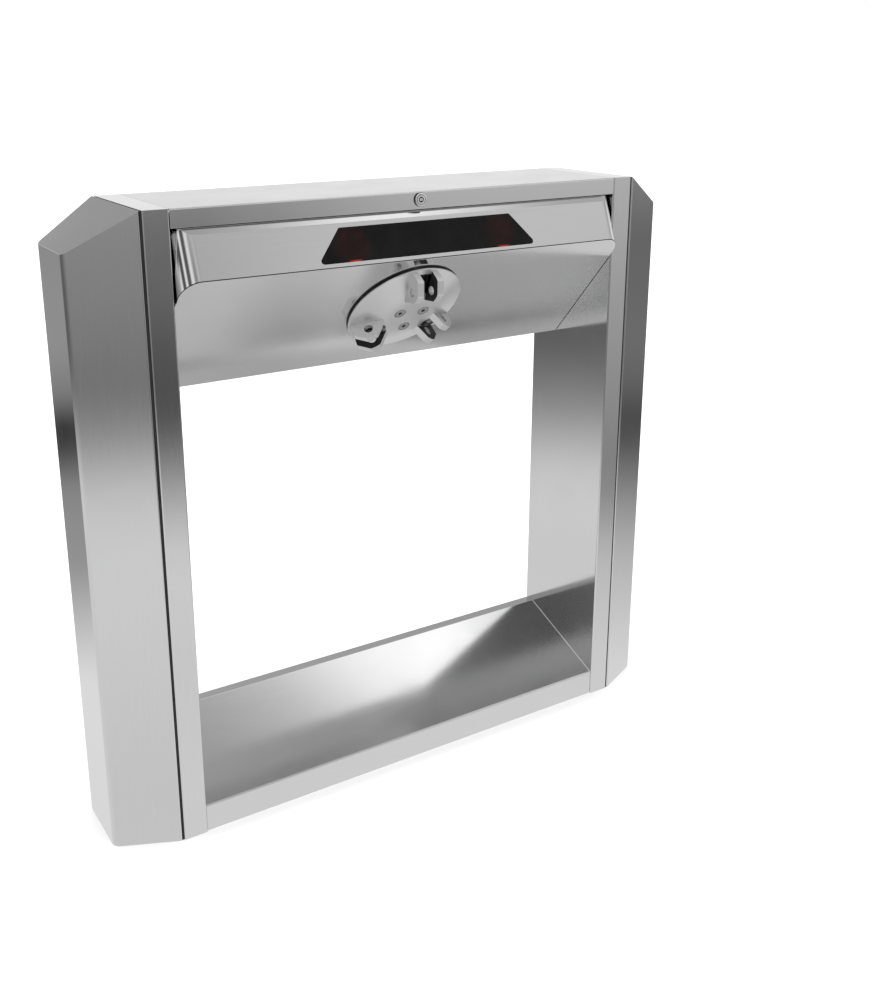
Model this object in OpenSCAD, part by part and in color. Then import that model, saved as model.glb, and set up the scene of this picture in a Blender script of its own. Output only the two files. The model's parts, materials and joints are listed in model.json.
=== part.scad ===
// Tripod turnstile: a sheet steel frame with a tilted hub under a slanted housing.
// Millimetres, Z up. The origin is on the floor, in the middle of the footprint.
// X runs along the length, and the front, where people pass, faces minus Y.

/* [Frame] */
// Length over the two posts
frame_l = 878; // [820:1:940]
// Depth of the posts, front to rear
frame_d = 213; // [206:1:230]
// Height of the posts and of the lid
frame_h = 1000; // [985:1:1040]
// Width of a post's front face
post_w = 39; // [34:1:46]
// Thickness of the frame and housing sheet
sheet_t = 2; // [1.5:0.1:2.4]
// Outside radius of the frame's bends
bend_r = 3; // [2.6:0.1:5]
// Width of the lips that fold in round a post's open side
post_lip = 20; // [19:1:22]

/* [End covers] */
// Reach of an end cover beyond its gasket
cover_w = 98; // [88:1:110]
// Thickness of the gasket between a post and its cover
gasket_t = 3; // [2:0.5:4]
// Depth that the front and rear of a cover fall back by at its end
cover_chamfer = 44; // [34:1:50]
// Drop of a cover's top from the gasket to the end
cover_fall = 57.6; // [40:0.1:70]
// Bend radius at a cover's upright corners
cover_bend_r = 15; // [8:1:18]
// Set-back of the gasket's outer edge
gasket_inset = 2; // [1:0.5:3]

/* [Base] */
// Height of the beam's front lip
base_lip_h = 46.5; // [36:0.5:56]
// Height of the ridge at the top of the sloping plate
base_ridge_h = 122; // [108:1:136]
// Depth of the flat band behind the ridge
base_band = 21.5; // [16:0.5:28]
// Set-back of the lip behind the posts' fronts
base_setback = 3; // [2:0.5:6]
// Thickness of a foot plate
foot_t = 8; // [6:1:12]
// Diameter of an anchor hole
anchor_d = 14; // [11:1:16]
// Distance between the two rows of anchor holes
anchor_span = 90; // [70:1:96]
// Distance of the inner anchor holes from a post's web
anchor_in = 25; // [20:1:30]
// Distance between the inner and outer anchor holes of one plate
anchor_pitch = 75; // [60:1:80]

/* [Housing] */
// Height of the lid's front flange
flange_h = 27.4; // [26:0.1:32]
// Open joint under the lid's front flange
lid_gap = 2; // [1.5:0.1:3]
// Distance of the upper crease in front of the posts
crease_out = 5.6; // [4:0.1:9]
// Drop of the upper crease below the top
crease_drop = 38.2; // [36:0.1:42]
// Distance of the lower crease in front of the posts
nose_out = 29.3; // [26:0.1:34]
// Height from the lower to the upper crease
nose_h = 62.6; // [60:0.1:68]
// Gap between the nose's cheek and the post
nose_gap = 2; // [1.5:0.5:6]
// Bend radius of the nose's ends
nose_end_r = 30; // [20:1:36]
// Slope of the slanted panel from level, in degrees
panel_slope = 48.2; // [46.5:0.1:50]
// Length of the slanted panel down its slope
panel_l = 262; // [255:1:270]

/* [Window] */
// Distance of the window's top edge below the upper crease
window_top = 6.5; // [6:0.1:8]
// Height of the window down the face
window_h = 53; // [50:0.5:53]
// Half the length of the window's top edge
window_top_half = 156.5; // [140:0.5:165]
// Half the length of the window's bottom edge
window_low_half = 200.5; // [185:0.5:210]
// Distance of the window's middle to the right of the hub
window_shift = 14; // [0:1:20]
// Corner radius of the window
window_r = 5; // [3:0.5:8]
// Distance from the hub's line to the left light
light_left = 124; // [110:1:130]
// Distance from the hub's line to the right light
light_right = 149; // [130:1:160]
// Diameter of a light's lens
light_d = 52; // [40:1:52]

/* [Hub] */
// Distance of the hub's axis below the lower crease, down the panel
hub_down = 118; // [115:0.5:121]
// Distance of the hub's axis to the right of the middle
hub_shift = 4.5; // [0:0.5:5]
// Gap between the panel and the hub's rim
hub_gap = 3; // [2:0.5:6]
// Radius of the hub's rim
hub_r = 99; // [96:0.5:104]
// Thickness of the rim
rim_t = 2.5; // [2:0.1:4]
// Radius of the hub's flat middle
plateau_r = 48; // [44:0.5:52]
// Height of the flat middle above the rim's underside
plateau_h = 20; // [18:0.5:24]
// Wall thickness of the hub
hub_wall = 6; // [5:0.5:7]
// Thickness of a fork's ear
ear_t = 12; // [9:0.5:14]
// Width of the slot between two ears
slot_w = 24; // [20:0.5:28]
// Diameter of the arm pin's hole
pin_d = 14; // [10:0.5:16]
// Distance of the arm pin from the hub's axis
pin_radius = 69; // [67:0.5:71]
// Height of the arm pin above the rim's underside
pin_h = 22.5; // [21:0.5:24]
// Radius of the circle that the hub's screws lie on
hub_screw_circle = 25; // [23:0.5:26]
// Diameter of a hub screw's head
hub_screw_head_d = 18; // [14:0.5:20]

/* [Rotor] */
// Diameter of the shaft at the bearings
shaft_d = 25; // [22:0.5:27]
// Outside diameter of a bearing
bearing_d = 52; // [50:0.5:56]
// Width of a bearing
bearing_w = 15; // [12:0.5:16]
// Number of balls in a bearing
balls = 9; // [7:1:10]
// Length of the bearing housing behind the panel
housing_l = 92; // [86:1:98]
// Radius of the locking disc
disc_r = 71; // [68:0.5:72]
// Thickness of the locking disc and of the pawls
disc_t = 8; // [6:0.5:9]
// Number of notches round the locking disc
notches = 12; // [6:6:12]
// Width of a notch
notch_w = 14; // [13:0.5:16]
// Depth of a notch
notch_deep = 9; // [8.5:0.5:11]

/* [Lock] */
// Diameter of the lock's head
lock_head_d = 22; // [20:0.5:24]
// Diameter of the lock's barrel
lock_barrel_d = 19; // [17:0.5:19]
// Height that the lock's head stands out by
lock_head_t = 3; // [2:0.5:4]
// Distance of the lock below the top
lock_drop = 12.5; // [12:0.1:13.5]
// Distance of the lock to the right of the middle
lock_shift = 6; // [0:1:12]
// Length of the lock's cam from its axis
cam_l = 30; // [26:1:34]

/* [Hidden] */
$fn = 64;

// Shared allowances
over = 1;
rub = 0.05;
slide = 0.3;
arc_steps = 5;
end_steps = 9;

// Places of the frame
front = -frame_d / 2;
rear = frame_d / 2;
web_x = frame_l / 2 - post_w;
post_x = frame_l / 2;
cover_x = post_x + gasket_t;
end_x = cover_x + cover_w;

// Places of the housing
upper_y = front - crease_out;
upper_z = frame_h - crease_drop;
lower_y = front - nose_out;
lower_z = upper_z - nose_h;
foot_y = lower_y + panel_l * cos(panel_slope);
foot_z = lower_z - panel_l * sin(panel_slope);
face_tilt = atan((nose_out - crease_out) / nose_h);
face_l = norm([nose_out - crease_out, nose_h]);
land_z = frame_h - flange_h - lid_gap;
rim_back = 3;
rim_up = 2.4;
nose_back = 12;
upturn = 16;
nose_x = web_x - nose_gap;

// Places on the hub's axis: across, up the slope, and outwards from the panel
hub_y = lower_y + hub_down * cos(panel_slope);
hub_z = lower_z - hub_down * sin(panel_slope);

// Screws, studs and pillars
stud_d = 6;
stud_head_d = 12;
stud_head_t = 3;
stud_edge = 12;
stud_in = 150;
screw_d = 5;
screw_head_d = 9;
screw_head_t = 2.6;
rear_screw_shares = [-0.9, -0.3, 0.3, 0.9];
bolt_d = 8;
bolt_head_w = 13;
bolt_head_t = 5.5;
washer_t = 1.6;

// Mechanism behind the panel, all heights below the panel's outer face
plate_t = 8;
plate_front = sheet_t + rub;
plate_half_x = 134;
plate_half_s = 94;
plate_clear = 2.5;
plate_back = plate_front + plate_t;
flange_t = 10;
flange_r = 57;
flange_bolt_r = 46;
spigot_r = 31;
bore_r = bearing_d / 2;
housing_wall = 7;
shoulder_h = 5;
tube_r = bore_r + housing_wall;
mouth_r = bore_r - shoulder_h;
neck_r = shaft_d / 2 + shoulder_h;
seal_t = 7;
seal_front = 3;
front_bearing = seal_front + seal_t + rub;
shoulder_back = front_bearing + bearing_w;
rear_bearing = housing_l - bearing_w;
back_plate_t = 6;
back_face = housing_l + back_plate_t;
back_half_x = 170;
back_half_s = 98;
pawl_gap = 4;
disc_front = back_face + pawl_gap;
disc_back = disc_front + disc_t;
disc_hub_r = 24;
disc_hub_l = 7;
disc_hub_back = disc_back + disc_hub_l;
boss_r = 17;
encoder_t = 1.2;
encoder_r = 45;
encoder_slots = 24;
encoder_slot_w = 3;
encoder_slot_l = 6;
nut_l = 9.8;
nut_back = disc_hub_back + encoder_t + nut_l;
nut_w = 36;
tail_r = 8;
tail_l = 26;
tail_back = nut_back + tail_l;
key_w = 8;
key_h = 7;
key_l = 14;
pillar_r = 7;
pillar_x = 118;
pillar_up = 42;
pillar_down = 64;

// Bearing rings and balls
race_r = (bearing_d + shaft_d) / 4 + rub;
ball_r = 3.9;
ring_wall_share = 0.26;
ring_wall = (bearing_d - shaft_d) / 2 * ring_wall_share;
race_gap = 0.1;

// Pawls, pins and solenoids
pawl_x = 88;
pawl_s = -50;
pawl_boss_r = 9;
pawl_pin_r = 4;
pawl_in = 7;
pawl_out = 2;
nose_clear = 1.5;
nose_low = -2;
nose_high = notch_w / 2;
pawl_top = 14;
pawl_collar_r = 6.5;
plunger_s = -10;
plunger_drop = 9;
plunger_rod_r = 3;
plunger_r = 6;
coil_start = 18;
coil_l = 50;
coil_w = 28;
coil_end_wall = 6;
plunger_rod_l = 14;
plunger_l = 46;

// Damper and sensor
bracket_t = 4;
bracket_half_s = 84;
bracket_w = 40;
bracket_gap = 6;
bracket_face = nut_back + bracket_gap;
bracket_hole_r = 14;
damper_r = 28;
damper_front = bracket_face + bracket_t;
damper_l = 26;
damper_bore_l = 20;
sensor_w = 16;
sensor_in = 37;
sensor_out = 51;
sensor_gap = 1.4;

// Hub screws and forks
hub_top = hub_gap + plateau_h;
shaft_flange_r = 38;
shaft_flange_t = 9;
hub_screw_d = 10;
hub_screw_l = 14;
hub_screw_head_h = 5;
hub_socket_w = 6;
hub_socket_deep = 3.5;
slot_start = 41;
slot_end = 90;
forks = [90, 210, 330];
hub_screws_at = [30, 150, 270];
ear_r = 3;
ear_root = 40;
ear_root_h = 18;
ear_shoulder_in = 9;
ear_shoulder_up = 15.5;
ear_crown_up = 17;
ear_crown_out = 8;
ear_toe_in = 3.5;
ear_toe_h = 23;
ear_foot_in = 5.5;
ear_foot_h = 4.5;
ear_low = 0.4;
ear_crown_fall = 0.5;

// Lock and keeper
lock_y = front;
lock_z = frame_h - lock_drop;
lock_l = 20;
plug_d = 13;
key_slot_w = 2;
key_slot_h = 8.5;
key_slot_deep = 8;
clip_half = 15;
clip_up = 10;
clip_down = 14;
clip_t = 1.5;
lock_notch_half = 23;
cam_t = 3;
cam_w = 11;
cam_screw_r = 4;
cam_screw_t = 2.5;
keeper_t = 2;
keeper_near = 18;
keeper_far = 38;
keeper_drop = 42;
keeper_play = 0.9;
keeper_depth = 20;

// Hinges
knuckle_r = 4;
hinge_pin_r = 2;
hinge_stand = 0.4;
hinge_l = 84;
hinge_x = 270;
hinge_leaf_h = 22;
leaf_t = 2;
hinge_y = rear + knuckle_r + hinge_stand;
hinge_z = frame_h - flange_h - lid_gap + rim_up / 2;

// Lights behind the window
pane_step = 7;
pane_high_edge = 3.2;
pane_low_edge = 6;
pane_t = 2;
seal_ring_t = 1;
lens_t = 6;
lens_drop = 32.7;
board_t = 1.6;
board_margin = 12;
board_half_h = 24;
pillar_small_r = 3;

// Boxes inside the housing
unit_w = 160;
unit_h = 96;
unit_in = 110;
unit_drop = 140;
unit_x = web_x - unit_in;
unit_z = frame_h - unit_drop;
unit_pillar = 7;
unit_board_t = 1.6;
terminals = 4;
terminal_pitch = 34;
terminal_w = 20;
terminal_h = 22;
terminal_t = 12;
supply_w = 150;
supply_h = 96;
supply_d = 44;
trunk_w = 25;
trunk_up = 24;
trunk_z = foot_z + trunk_up;
trunk_end_gap = 3.2;
cable_hole_r = 11;

// Left normal of the way from a to b
function left_of(a, b) = [a[1] - b[1], b[0] - a[0]] / norm(b - a);

// Corner point moved sideways by t, so that both neighbouring edges move by t
function moved(n, m, t) = (n + m) * t / (1 + n * m);

// Open line moved to its left by t
function beside(p, t) = let (last = len(p) - 1) [for (i = [0 : last])
    p[i] + (i == 0 ? left_of(p[0], p[1]) * t
        : i == last ? left_of(p[last - 1], p[last]) * t
        : moved(left_of(p[i - 1], p[i]), left_of(p[i], p[i + 1]), t))];

// Closed outline drawn in by t, for points that run anticlockwise
function inset(p, t) = let (n = len(p)) [for (i = [0 : n - 1])
    p[i] + moved(left_of(p[(i + n - 1) % n], p[i]), left_of(p[i], p[(i + 1) % n]), t)];

// Points of an arc that rounds the corner at p between the ways to a and b
function corner(a, p, b, r, steps) = r <= 0 ? [p] : let (
    u = (a - p) / norm(a - p),
    v = (b - p) / norm(b - p),
    half = acos(u * v) / 2,
    c = p + (u + v) / norm(u + v) * r / sin(half),
    s = p + u * r / tan(half) - c,
    e = p + v * r / tan(half) - c,
    start = atan2(s[1], s[0]),
    turn = atan2(cross(s, e), s * e))
    [for (k = [0 : steps]) c + r * [cos(start + turn * k / steps), sin(start + turn * k / steps)]];

// Closed outline with a radius for each corner
function rounded(p, r, steps = arc_steps) = let (n = len(p)) [for (i = [0 : n - 1])
    each corner(p[(i + n - 1) % n], p[i], p[(i + 1) % n], r[i], steps)];

// Open line with a radius at each inner corner
function bent(p, r) = let (last = len(p) - 1) [for (i = [0 : last])
    each (i == 0 || i == last ? [p[i]] : corner(p[i - 1], p[i], p[i + 1], r, arc_steps))];

// Section of a bent sheet whose outer line is p and whose thickness lies to its left
function folded(p, t) = concat(p, [for (i = [len(p) - 1 : -1 : 0]) beside(p, t)[i]]);

// Extrusion of an outline in Y and Z along X
module along_x(x0, x1) {
    translate([x0, 0, 0]) rotate([90, 0, 90]) linear_extrude(x1 - x0) children();
}

// Extrusion of an outline in X and Z along Y
module along_y(y0, y1) {
    translate([0, y1, 0]) rotate([90, 0, 0]) linear_extrude(y1 - y0) children();
}

// Box between two corners
module block(a, b) {
    translate(a) cube(b - a);
}

// Tube between two heights, solid where no bore is given
module tube(r, z0, z1, bore = 0) {
    translate([0, 0, z0]) difference() {
        cylinder(h = z1 - z0, r = r);
        if (bore > 0) translate([0, 0, -over]) cylinder(h = z1 - z0 + 2 * over, r = bore);
    }
}

// Hexagonal prism of width w across its flats
module hexagon(w, z0, z1) {
    translate([0, 0, z0]) cylinder(h = z1 - z0, r = w / 2 / cos(30), $fn = 6);
}

// Frame of the hub: X across, Y up the slope, Z outwards from the panel's outer face
module on_axis() {
    translate([hub_shift, hub_y, hub_z]) rotate([180 - panel_slope, 0, 0]) children();
}

// Frame of the nose's face: X across, Y up the face, Z outwards, from the upper crease
module on_face() {
    translate([0, upper_y, upper_z]) rotate([90 - face_tilt, 0, 0]) children();
}

// The other side of the turnstile
module other_side() {
    mirror([1, 0, 0]) children();
}

// The other side of the hub's axis
module across_axis() {
    translate([2 * hub_shift, 0, 0]) other_side() children();
}

// Frame

module post() {
    outer = rounded([[web_x, front], [post_x, front], [post_x, rear], [web_x, rear]],
        [bend_r, 0, 0, bend_r]);
    color("silver") difference() {
        linear_extrude(frame_h) polygon(outer);
        translate([0, 0, -over]) linear_extrude(frame_h + over - sheet_t)
            polygon(inset(outer, sheet_t));
        block([post_x - sheet_t - over, front + post_lip, -over],
            [post_x + over, rear - post_lip, frame_h - post_lip]);
        translate([web_x, 0, 0]) cable_hole(sheet_t);
    }
}

module cable_hole(depth) {
    translate([-over, rear - sheet_t - trunk_w / 2, trunk_z + trunk_w / 2]) rotate([0, 90, 0])
        cylinder(h = depth + 2 * over, r = cable_hole_r);
}

module left_post() {
    other_side() post();
}

module right_post() {
    post();
}

module foot_plate() {
    color("dimgray") difference() {
        linear_extrude(foot_t) polygon([
            [web_x + sheet_t, front + post_lip], [cover_x, front + post_lip],
            [web_x + anchor_in + anchor_pitch + post_lip, -anchor_span / 2 - anchor_d],
            [web_x + anchor_in + anchor_pitch + post_lip, anchor_span / 2 + anchor_d],
            [cover_x, rear - post_lip], [web_x + sheet_t, rear - post_lip]]);
        for (x = [0, anchor_pitch], y = [-anchor_span / 2, anchor_span / 2])
            translate([web_x + anchor_in + x, y, -over]) cylinder(h = foot_t + 2 * over, d = anchor_d);
    }
}

module left_foot_plate() {
    other_side() foot_plate();
}

module right_foot_plate() {
    foot_plate();
}

module base_beam() {
    line = [[front + base_setback, 0], [front + base_setback, base_lip_h],
        [rear - base_band, base_ridge_h], [rear, base_ridge_h], [rear, 0]];
    color("silver") along_x(-web_x, web_x) polygon(folded(bent(line, bend_r), -sheet_t));
}

// End covers

cover_plan = [[cover_x, front], [end_x, front + cover_chamfer], [end_x, rear - cover_chamfer],
    [cover_x, rear]];
cover_plan_r = [0, cover_bend_r, cover_bend_r, 0];
cover_side = [[cover_x, 0], [end_x, 0], [end_x, frame_h - cover_fall], [cover_x, frame_h]];

module cover_solid(t, low) {
    intersection() {
        translate([0, 0, -low]) linear_extrude(frame_h + low)
            polygon(inset(rounded(cover_plan, cover_plan_r), t));
        along_y(front, rear) polygon(inset(cover_side, t) + [[0, -low], [0, -low], [0, 0], [0, 0]]);
    }
}

module stud_places() {
    for (y = [front + stud_edge, rear - stud_edge], z = [stud_in, frame_h - stud_in])
        translate([cover_x, y, z]) rotate([0, 90, 0]) children();
}

module end_cover() {
    color("silver") difference() {
        cover_solid(0, 0);
        cover_solid(sheet_t, 2 * over);
        block([cover_x - over, front + post_lip, -over],
            [cover_x + sheet_t + over, rear - post_lip, frame_h - post_lip]);
        stud_places() {
            tube(stud_d / 2 + slide, -over, sheet_t + over);
            translate([stud_head_d, 0, 0]) tube(stud_head_d / 2 + slide, -over, sheet_t + over);
            translate([0, -stud_d / 2 - slide, -over])
                cube([stud_head_d, stud_d + 2 * slide, sheet_t + 2 * over]);
        }
    }
}

module left_end_cover() {
    other_side() end_cover();
}

module right_end_cover() {
    end_cover();
}

module cover_gasket() {
    color([0.08, 0.08, 0.08]) difference() {
        block([post_x, front + gasket_inset, 0], [cover_x, rear - gasket_inset, frame_h - gasket_inset]);
        block([post_x - over, front + post_lip, -over],
            [cover_x + over, rear - post_lip, frame_h - post_lip]);
        stud_places() tube(stud_d / 2 + slide, -gasket_t - over, over);
    }
}

module left_cover_gasket() {
    other_side() cover_gasket();
}

module right_cover_gasket() {
    cover_gasket();
}

module cover_stud_row() {
    stud_places() {
        tube(stud_d / 2, -gasket_t, sheet_t + slide);
        tube(stud_head_d / 2, sheet_t + slide, sheet_t + slide + stud_head_t);
    }
}

module cover_studs() {
    color("gray") {
        cover_stud_row();
        other_side() cover_stud_row();
    }
}

// Nose and panels

face_line = [[front + rim_back, land_z + rim_up], [front + rim_back, land_z], [upper_y, upper_z],
    [lower_y, lower_z], [foot_y, foot_z]];

// Prism along the fall of the nose's face, drawn in by t, reaching past both creases
module nose_prism(t) {
    half = nose_x - t;
    on_face() translate([0, 0, -t]) rotate([-90, 0, 0]) translate([0, 0, -panel_l])
        linear_extrude(2 * panel_l) polygon(rounded(
            [[-half, 0], [half, 0], [half, panel_l], [-half, panel_l]],
            [nose_end_r - t, nose_end_r - t, 0, 0], end_steps));
}

// Line of the nose panel: rim, land, face and the return that lies inside the slanted panel
nose_return = hub_down - plate_half_s - plate_clear;
nose_return_in = sheet_t / cos(panel_slope - face_tilt);
nose_return_top = [lower_y, lower_z] + nose_return_in * [sin(face_tilt), cos(face_tilt)];
nose_return_end = nose_return_top + nose_return * [cos(panel_slope), -sin(panel_slope)];
nose_line = [face_line[0], face_line[1], face_line[2], nose_return_top, nose_return_end];

module window_outline(grow) {
    low = -window_top - window_h;
    polygon(inset(rounded([
        [window_shift - window_low_half, low], [window_shift + window_low_half, low],
        [window_shift + window_top_half, -window_top],
        [window_shift - window_top_half, -window_top]],
        [window_r, window_r, window_r, window_r]), -grow));
}

module nose_panel() {
    inner = beside(nose_line, sheet_t);
    past = 2 * nose_return;
    back = front + nose_back;
    color("silver") difference() {
        intersection() {
            along_x(-nose_x, nose_x) polygon(concat(nose_line, [[back, nose_return_end[1]],
                [back, face_line[0][1]]]));
            nose_prism(0);
        }
        intersection() {
            along_x(-nose_x, nose_x) polygon(concat([inner[0] + [0, over]],
                [inner[1], inner[2], inner[3],
                    inner[4] + past * [cos(panel_slope), -sin(panel_slope)]],
                [[back + past, inner[4][1] - past], [back + past, inner[0][1] + over]]));
            nose_prism(sheet_t);
        }
        on_face() translate([0, 0, -sheet_t - over]) linear_extrude(sheet_t + 2 * over)
            window_outline(0);
        translate([lock_shift, 0, 0]) block([-lock_notch_half, front, land_z],
            [lock_notch_half, front + nose_back + over, frame_h]);
    }
}

module lower_panel() {
    line = [face_line[3], face_line[4], [rear - sheet_t, foot_z], [rear - sheet_t, foot_z + upturn]];
    color("silver") difference() {
        intersection() {
            along_x(-web_x, web_x) polygon(folded(line, sheet_t));
            union() {
                nose_prism(0);
                block([-web_x + slide, front, 0], [web_x - slide, rear, frame_h]);
            }
        }
        on_axis() tube(spigot_r + slide, -sheet_t - over, over);
        rear_screw_places() tube(screw_d / 2 + slide, -over, 3 * sheet_t);
    }
}

module rear_screw_places() {
    for (share = rear_screw_shares)
        translate([share * web_x, rear, foot_z + upturn / 2 + sheet_t / 2]) rotate([90, 0, 0]) children();
}

module rear_panel() {
    line = [[rear, foot_z], [rear, land_z - rim_up], [rear - upturn, land_z - rim_up]];
    color("silver") difference() {
        along_x(-web_x + slide, web_x - slide) polygon(folded(line, sheet_t));
        rear_screw_places() tube(screw_d / 2 + slide, -over, sheet_t + over);
    }
}

module rear_screws() {
    color("gray") rear_screw_places() {
        tube(screw_d / 2, 0, 3 * sheet_t);
        tube(screw_head_d / 2, -screw_head_t, 0);
        hexagon(screw_head_d, 2 * sheet_t + slide / 2, 2 * sheet_t + slide / 2 + screw_head_t);
    }
}

// Window and lights

module window() {
    color([0.05, 0.05, 0.06]) on_face() {
        translate([0, 0, -sheet_t - seal_ring_t]) linear_extrude(sheet_t + seal_ring_t)
            window_outline(-slide);
        translate([0, 0, -sheet_t - seal_ring_t - pane_t]) linear_extrude(pane_t)
            intersection() {
                window_outline(pane_step);
                pane_limit();
            }
    }
}

// Flat inside of the face, between its two creases
module pane_limit() {
    translate([-nose_x, -face_l + pane_low_edge])
        square([2 * nose_x, face_l - pane_low_edge - pane_high_edge]);
}

module window_gasket() {
    color("black") on_face() translate([0, 0, -sheet_t - seal_ring_t])
        linear_extrude(seal_ring_t) difference() {
            intersection() {
                window_outline(pane_step);
                pane_limit();
            }
            window_outline(slide);
        }
}

lens_back = sheet_t + seal_ring_t + pane_t + lens_t;

module light(x) {
    color("red") on_face() translate([x, -lens_drop, 0])
        tube(light_d / 2, -lens_back, -lens_back + lens_t);
}

module left_light() {
    light(-light_left);
}

module right_light() {
    light(light_right);
}

module light_board() {
    half = light_d / 2 + board_margin;
    color("darkgreen") on_face() translate([0, -lens_drop, 0]) difference() {
        block([-light_left - half, -board_half_h, -lens_back - board_t],
            [light_right + half, board_half_h, -lens_back]);
        light_pillar_places(half) tube(screw_d / 2, -lens_back - board_t - over, -lens_back + over);
    }
}

module light_pillar_places(half) {
    inset_x = half - board_margin / 2;
    for (x = [-light_left - inset_x, light_right + inset_x],
        y = [-board_half_h + board_margin / 2, board_half_h - board_margin / 2])
        translate([x, y, 0]) children();
}

module light_pillars() {
    color("lightgray") on_face() translate([0, -lens_drop, 0])
        light_pillar_places(light_d / 2 + board_margin) {
            tube(pillar_small_r, -lens_back, -sheet_t - seal_ring_t - pane_t);
            tube(screw_d / 2 - slide, -lens_back - board_t, -lens_back);
            tube(pillar_small_r, -lens_back - board_t - screw_head_t, -lens_back - board_t);
        }
}

// Lid, hinges and lock

module lid() {
    line = [[front, frame_h - flange_h], [front, frame_h], [rear, frame_h],
        [rear, frame_h - flange_h]];
    color("gainsboro") difference() {
        along_x(-web_x + slide, web_x - slide) polygon(folded(line, -sheet_t));
        on_lock() tube(lock_barrel_d / 2 + rub, -over, sheet_t + over);
    }
}

// Frame of the lock: Z runs inwards from the lid's front flange
module on_lock() {
    translate([lock_shift, lock_y, lock_z]) rotate([-90, 0, 0]) children();
}

module knuckles(x0, x1, bore) {
    translate([x0, hinge_y, hinge_z]) rotate([0, 90, 0]) tube(knuckle_r, 0, x1 - x0, bore);
}

module hinge_places() {
    for (x = [-hinge_x, hinge_x]) translate([x, 0, 0]) children();
}

// Fixed leaves with their pins pressed in
module hinge_leaves_fixed() {
    half = hinge_l / 2;
    third = hinge_l / 6;
    clear = knuckle_r + 2 * hinge_stand;
    color("gray") hinge_places() {
        knuckles(-half, -third, 0);
        knuckles(third, half, 0);
        translate([0, hinge_y, hinge_z]) rotate([0, 90, 0]) tube(hinge_pin_r, -half, half);
        difference() {
            block([-half, rear, hinge_z - hinge_leaf_h], [half, rear + leaf_t, hinge_z]);
            block([-third - slide, rear - over, hinge_z - clear],
                [third + slide, rear + leaf_t + over, hinge_z + over]);
        }
    }
}

module hinge_leaves_lid() {
    half = hinge_l / 2;
    third = hinge_l / 6;
    clear = knuckle_r + 2 * hinge_stand;
    color("gray") hinge_places() {
        knuckles(-third + slide, third - slide, hinge_pin_r + rub);
        block([-third + slide, rear, hinge_z], [third - slide, rear + leaf_t, hinge_z + hinge_leaf_h]);
        block([-half, rear, hinge_z + clear], [half, rear + leaf_t, hinge_z + hinge_leaf_h]);
    }
}

module lock_barrel() {
    color("gainsboro") on_lock() difference() {
        union() {
            tube(lock_head_d / 2, -lock_head_t, 0);
            tube(lock_barrel_d / 2, 0, lock_l);
        }
        tube(plug_d / 2 + rub, -lock_head_t - over, lock_l + over);
    }
}

module lock_clip() {
    half = lock_barrel_d / 2 + rub;
    color("gray") on_lock() difference() {
        block([-clip_half, -clip_up, sheet_t], [clip_half, clip_down, sheet_t + clip_t]);
        tube(half, sheet_t - over, sheet_t + clip_t + over);
        block([-half, -clip_up - over, sheet_t - over], [half, 0, sheet_t + clip_t + over]);
    }
}

module lock_plug() {
    color("silver") on_lock() difference() {
        tube(plug_d / 2, -lock_head_t, lock_l);
        block([-key_slot_w / 2, -key_slot_h / 2, -lock_head_t - over],
            [key_slot_w / 2, key_slot_h / 2, key_slot_deep]);
    }
}

module lock_cam() {
    color("gray") on_lock() difference() {
        union() {
            tube(cam_w / 2, lock_l, lock_l + cam_t);
            block([-cam_w / 2, 0, lock_l], [cam_w / 2, cam_l, lock_l + cam_t]);
        }
        tube(cam_screw_r / 2 + rub, lock_l - over, lock_l + cam_t + over);
    }
}

module cam_screw() {
    color("silver") on_lock() {
        tube(cam_screw_r, lock_l + cam_t, lock_l + cam_t + cam_screw_t);
        tube(cam_screw_r / 2, lock_l, lock_l + cam_t);
    }
}

module lock_keeper() {
    back = front + rim_back + sheet_t;
    top = lock_z + cam_w / 2 + keeper_play;
    color("gray") translate([lock_shift, 0, 0]) {
        block([keeper_near, back, frame_h - keeper_drop], [keeper_far, back + keeper_t, top]);
        block([keeper_near, back, top], [keeper_far, back + keeper_depth, top + keeper_t]);
    }
}

// Plates and bearing housing on the hub's axis

module mechanism_plate() {
    color("slategray") on_axis() difference() {
        block([-plate_half_x, -plate_half_s, -plate_back], [plate_half_x, plate_half_s, -plate_front]);
        tube(spigot_r + rub, -plate_back - over, over);
        flange_bolt_places() tube(bolt_d / 2 + rub, -plate_back - over, -sheet_t + over);
        plate_stud_places() tube(bolt_d / 2 + slide, -plate_back - over, -sheet_t + over);
        pillar_places() tube(screw_d / 2 + rub, -plate_back - over, -sheet_t + over);
    }
}

module flange_bolt_places() {
    for (a = [45 : 90 : 315]) rotate([0, 0, a]) translate([flange_bolt_r, 0, 0]) children();
}

module plate_stud_places() {
    for (x = [-1, 1], y = [-1, 1])
        translate([x * (plate_half_x - 2 * bolt_d), y * (plate_half_s - 1.5 * bolt_d), 0]) children();
}

module pillar_places() {
    for (x = [-pillar_x, pillar_x], s = [-pillar_down, pillar_up]) translate([x, s, 0]) children();
}

module plate_studs() {
    color("gray") on_axis() plate_stud_places() {
        tube(bolt_d / 2, -plate_back - 2 * bolt_head_t, -plate_front);
        difference() {
            hexagon(bolt_head_w, -plate_back - bolt_head_t, -plate_back);
            tube(bolt_d / 2 - rub, -plate_back - bolt_head_t - over, -plate_back + over);
        }
    }
}

module bearing_housing() {
    color("slategray") on_axis() difference() {
        union() {
            tube(spigot_r, -plate_back, 0);
            tube(flange_r, -plate_back - flange_t, -plate_back);
            tube(tube_r, -housing_l, -plate_back - flange_t);
        }
        tube(mouth_r, -housing_l - over, over);
        tube(bore_r, -shoulder_back, over);
        tube(bore_r, -housing_l - over, -rear_bearing);
        flange_bolt_places() tube(bolt_d / 2 + rub, -plate_back - flange_t - over, -plate_back + over);
    }
}

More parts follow.
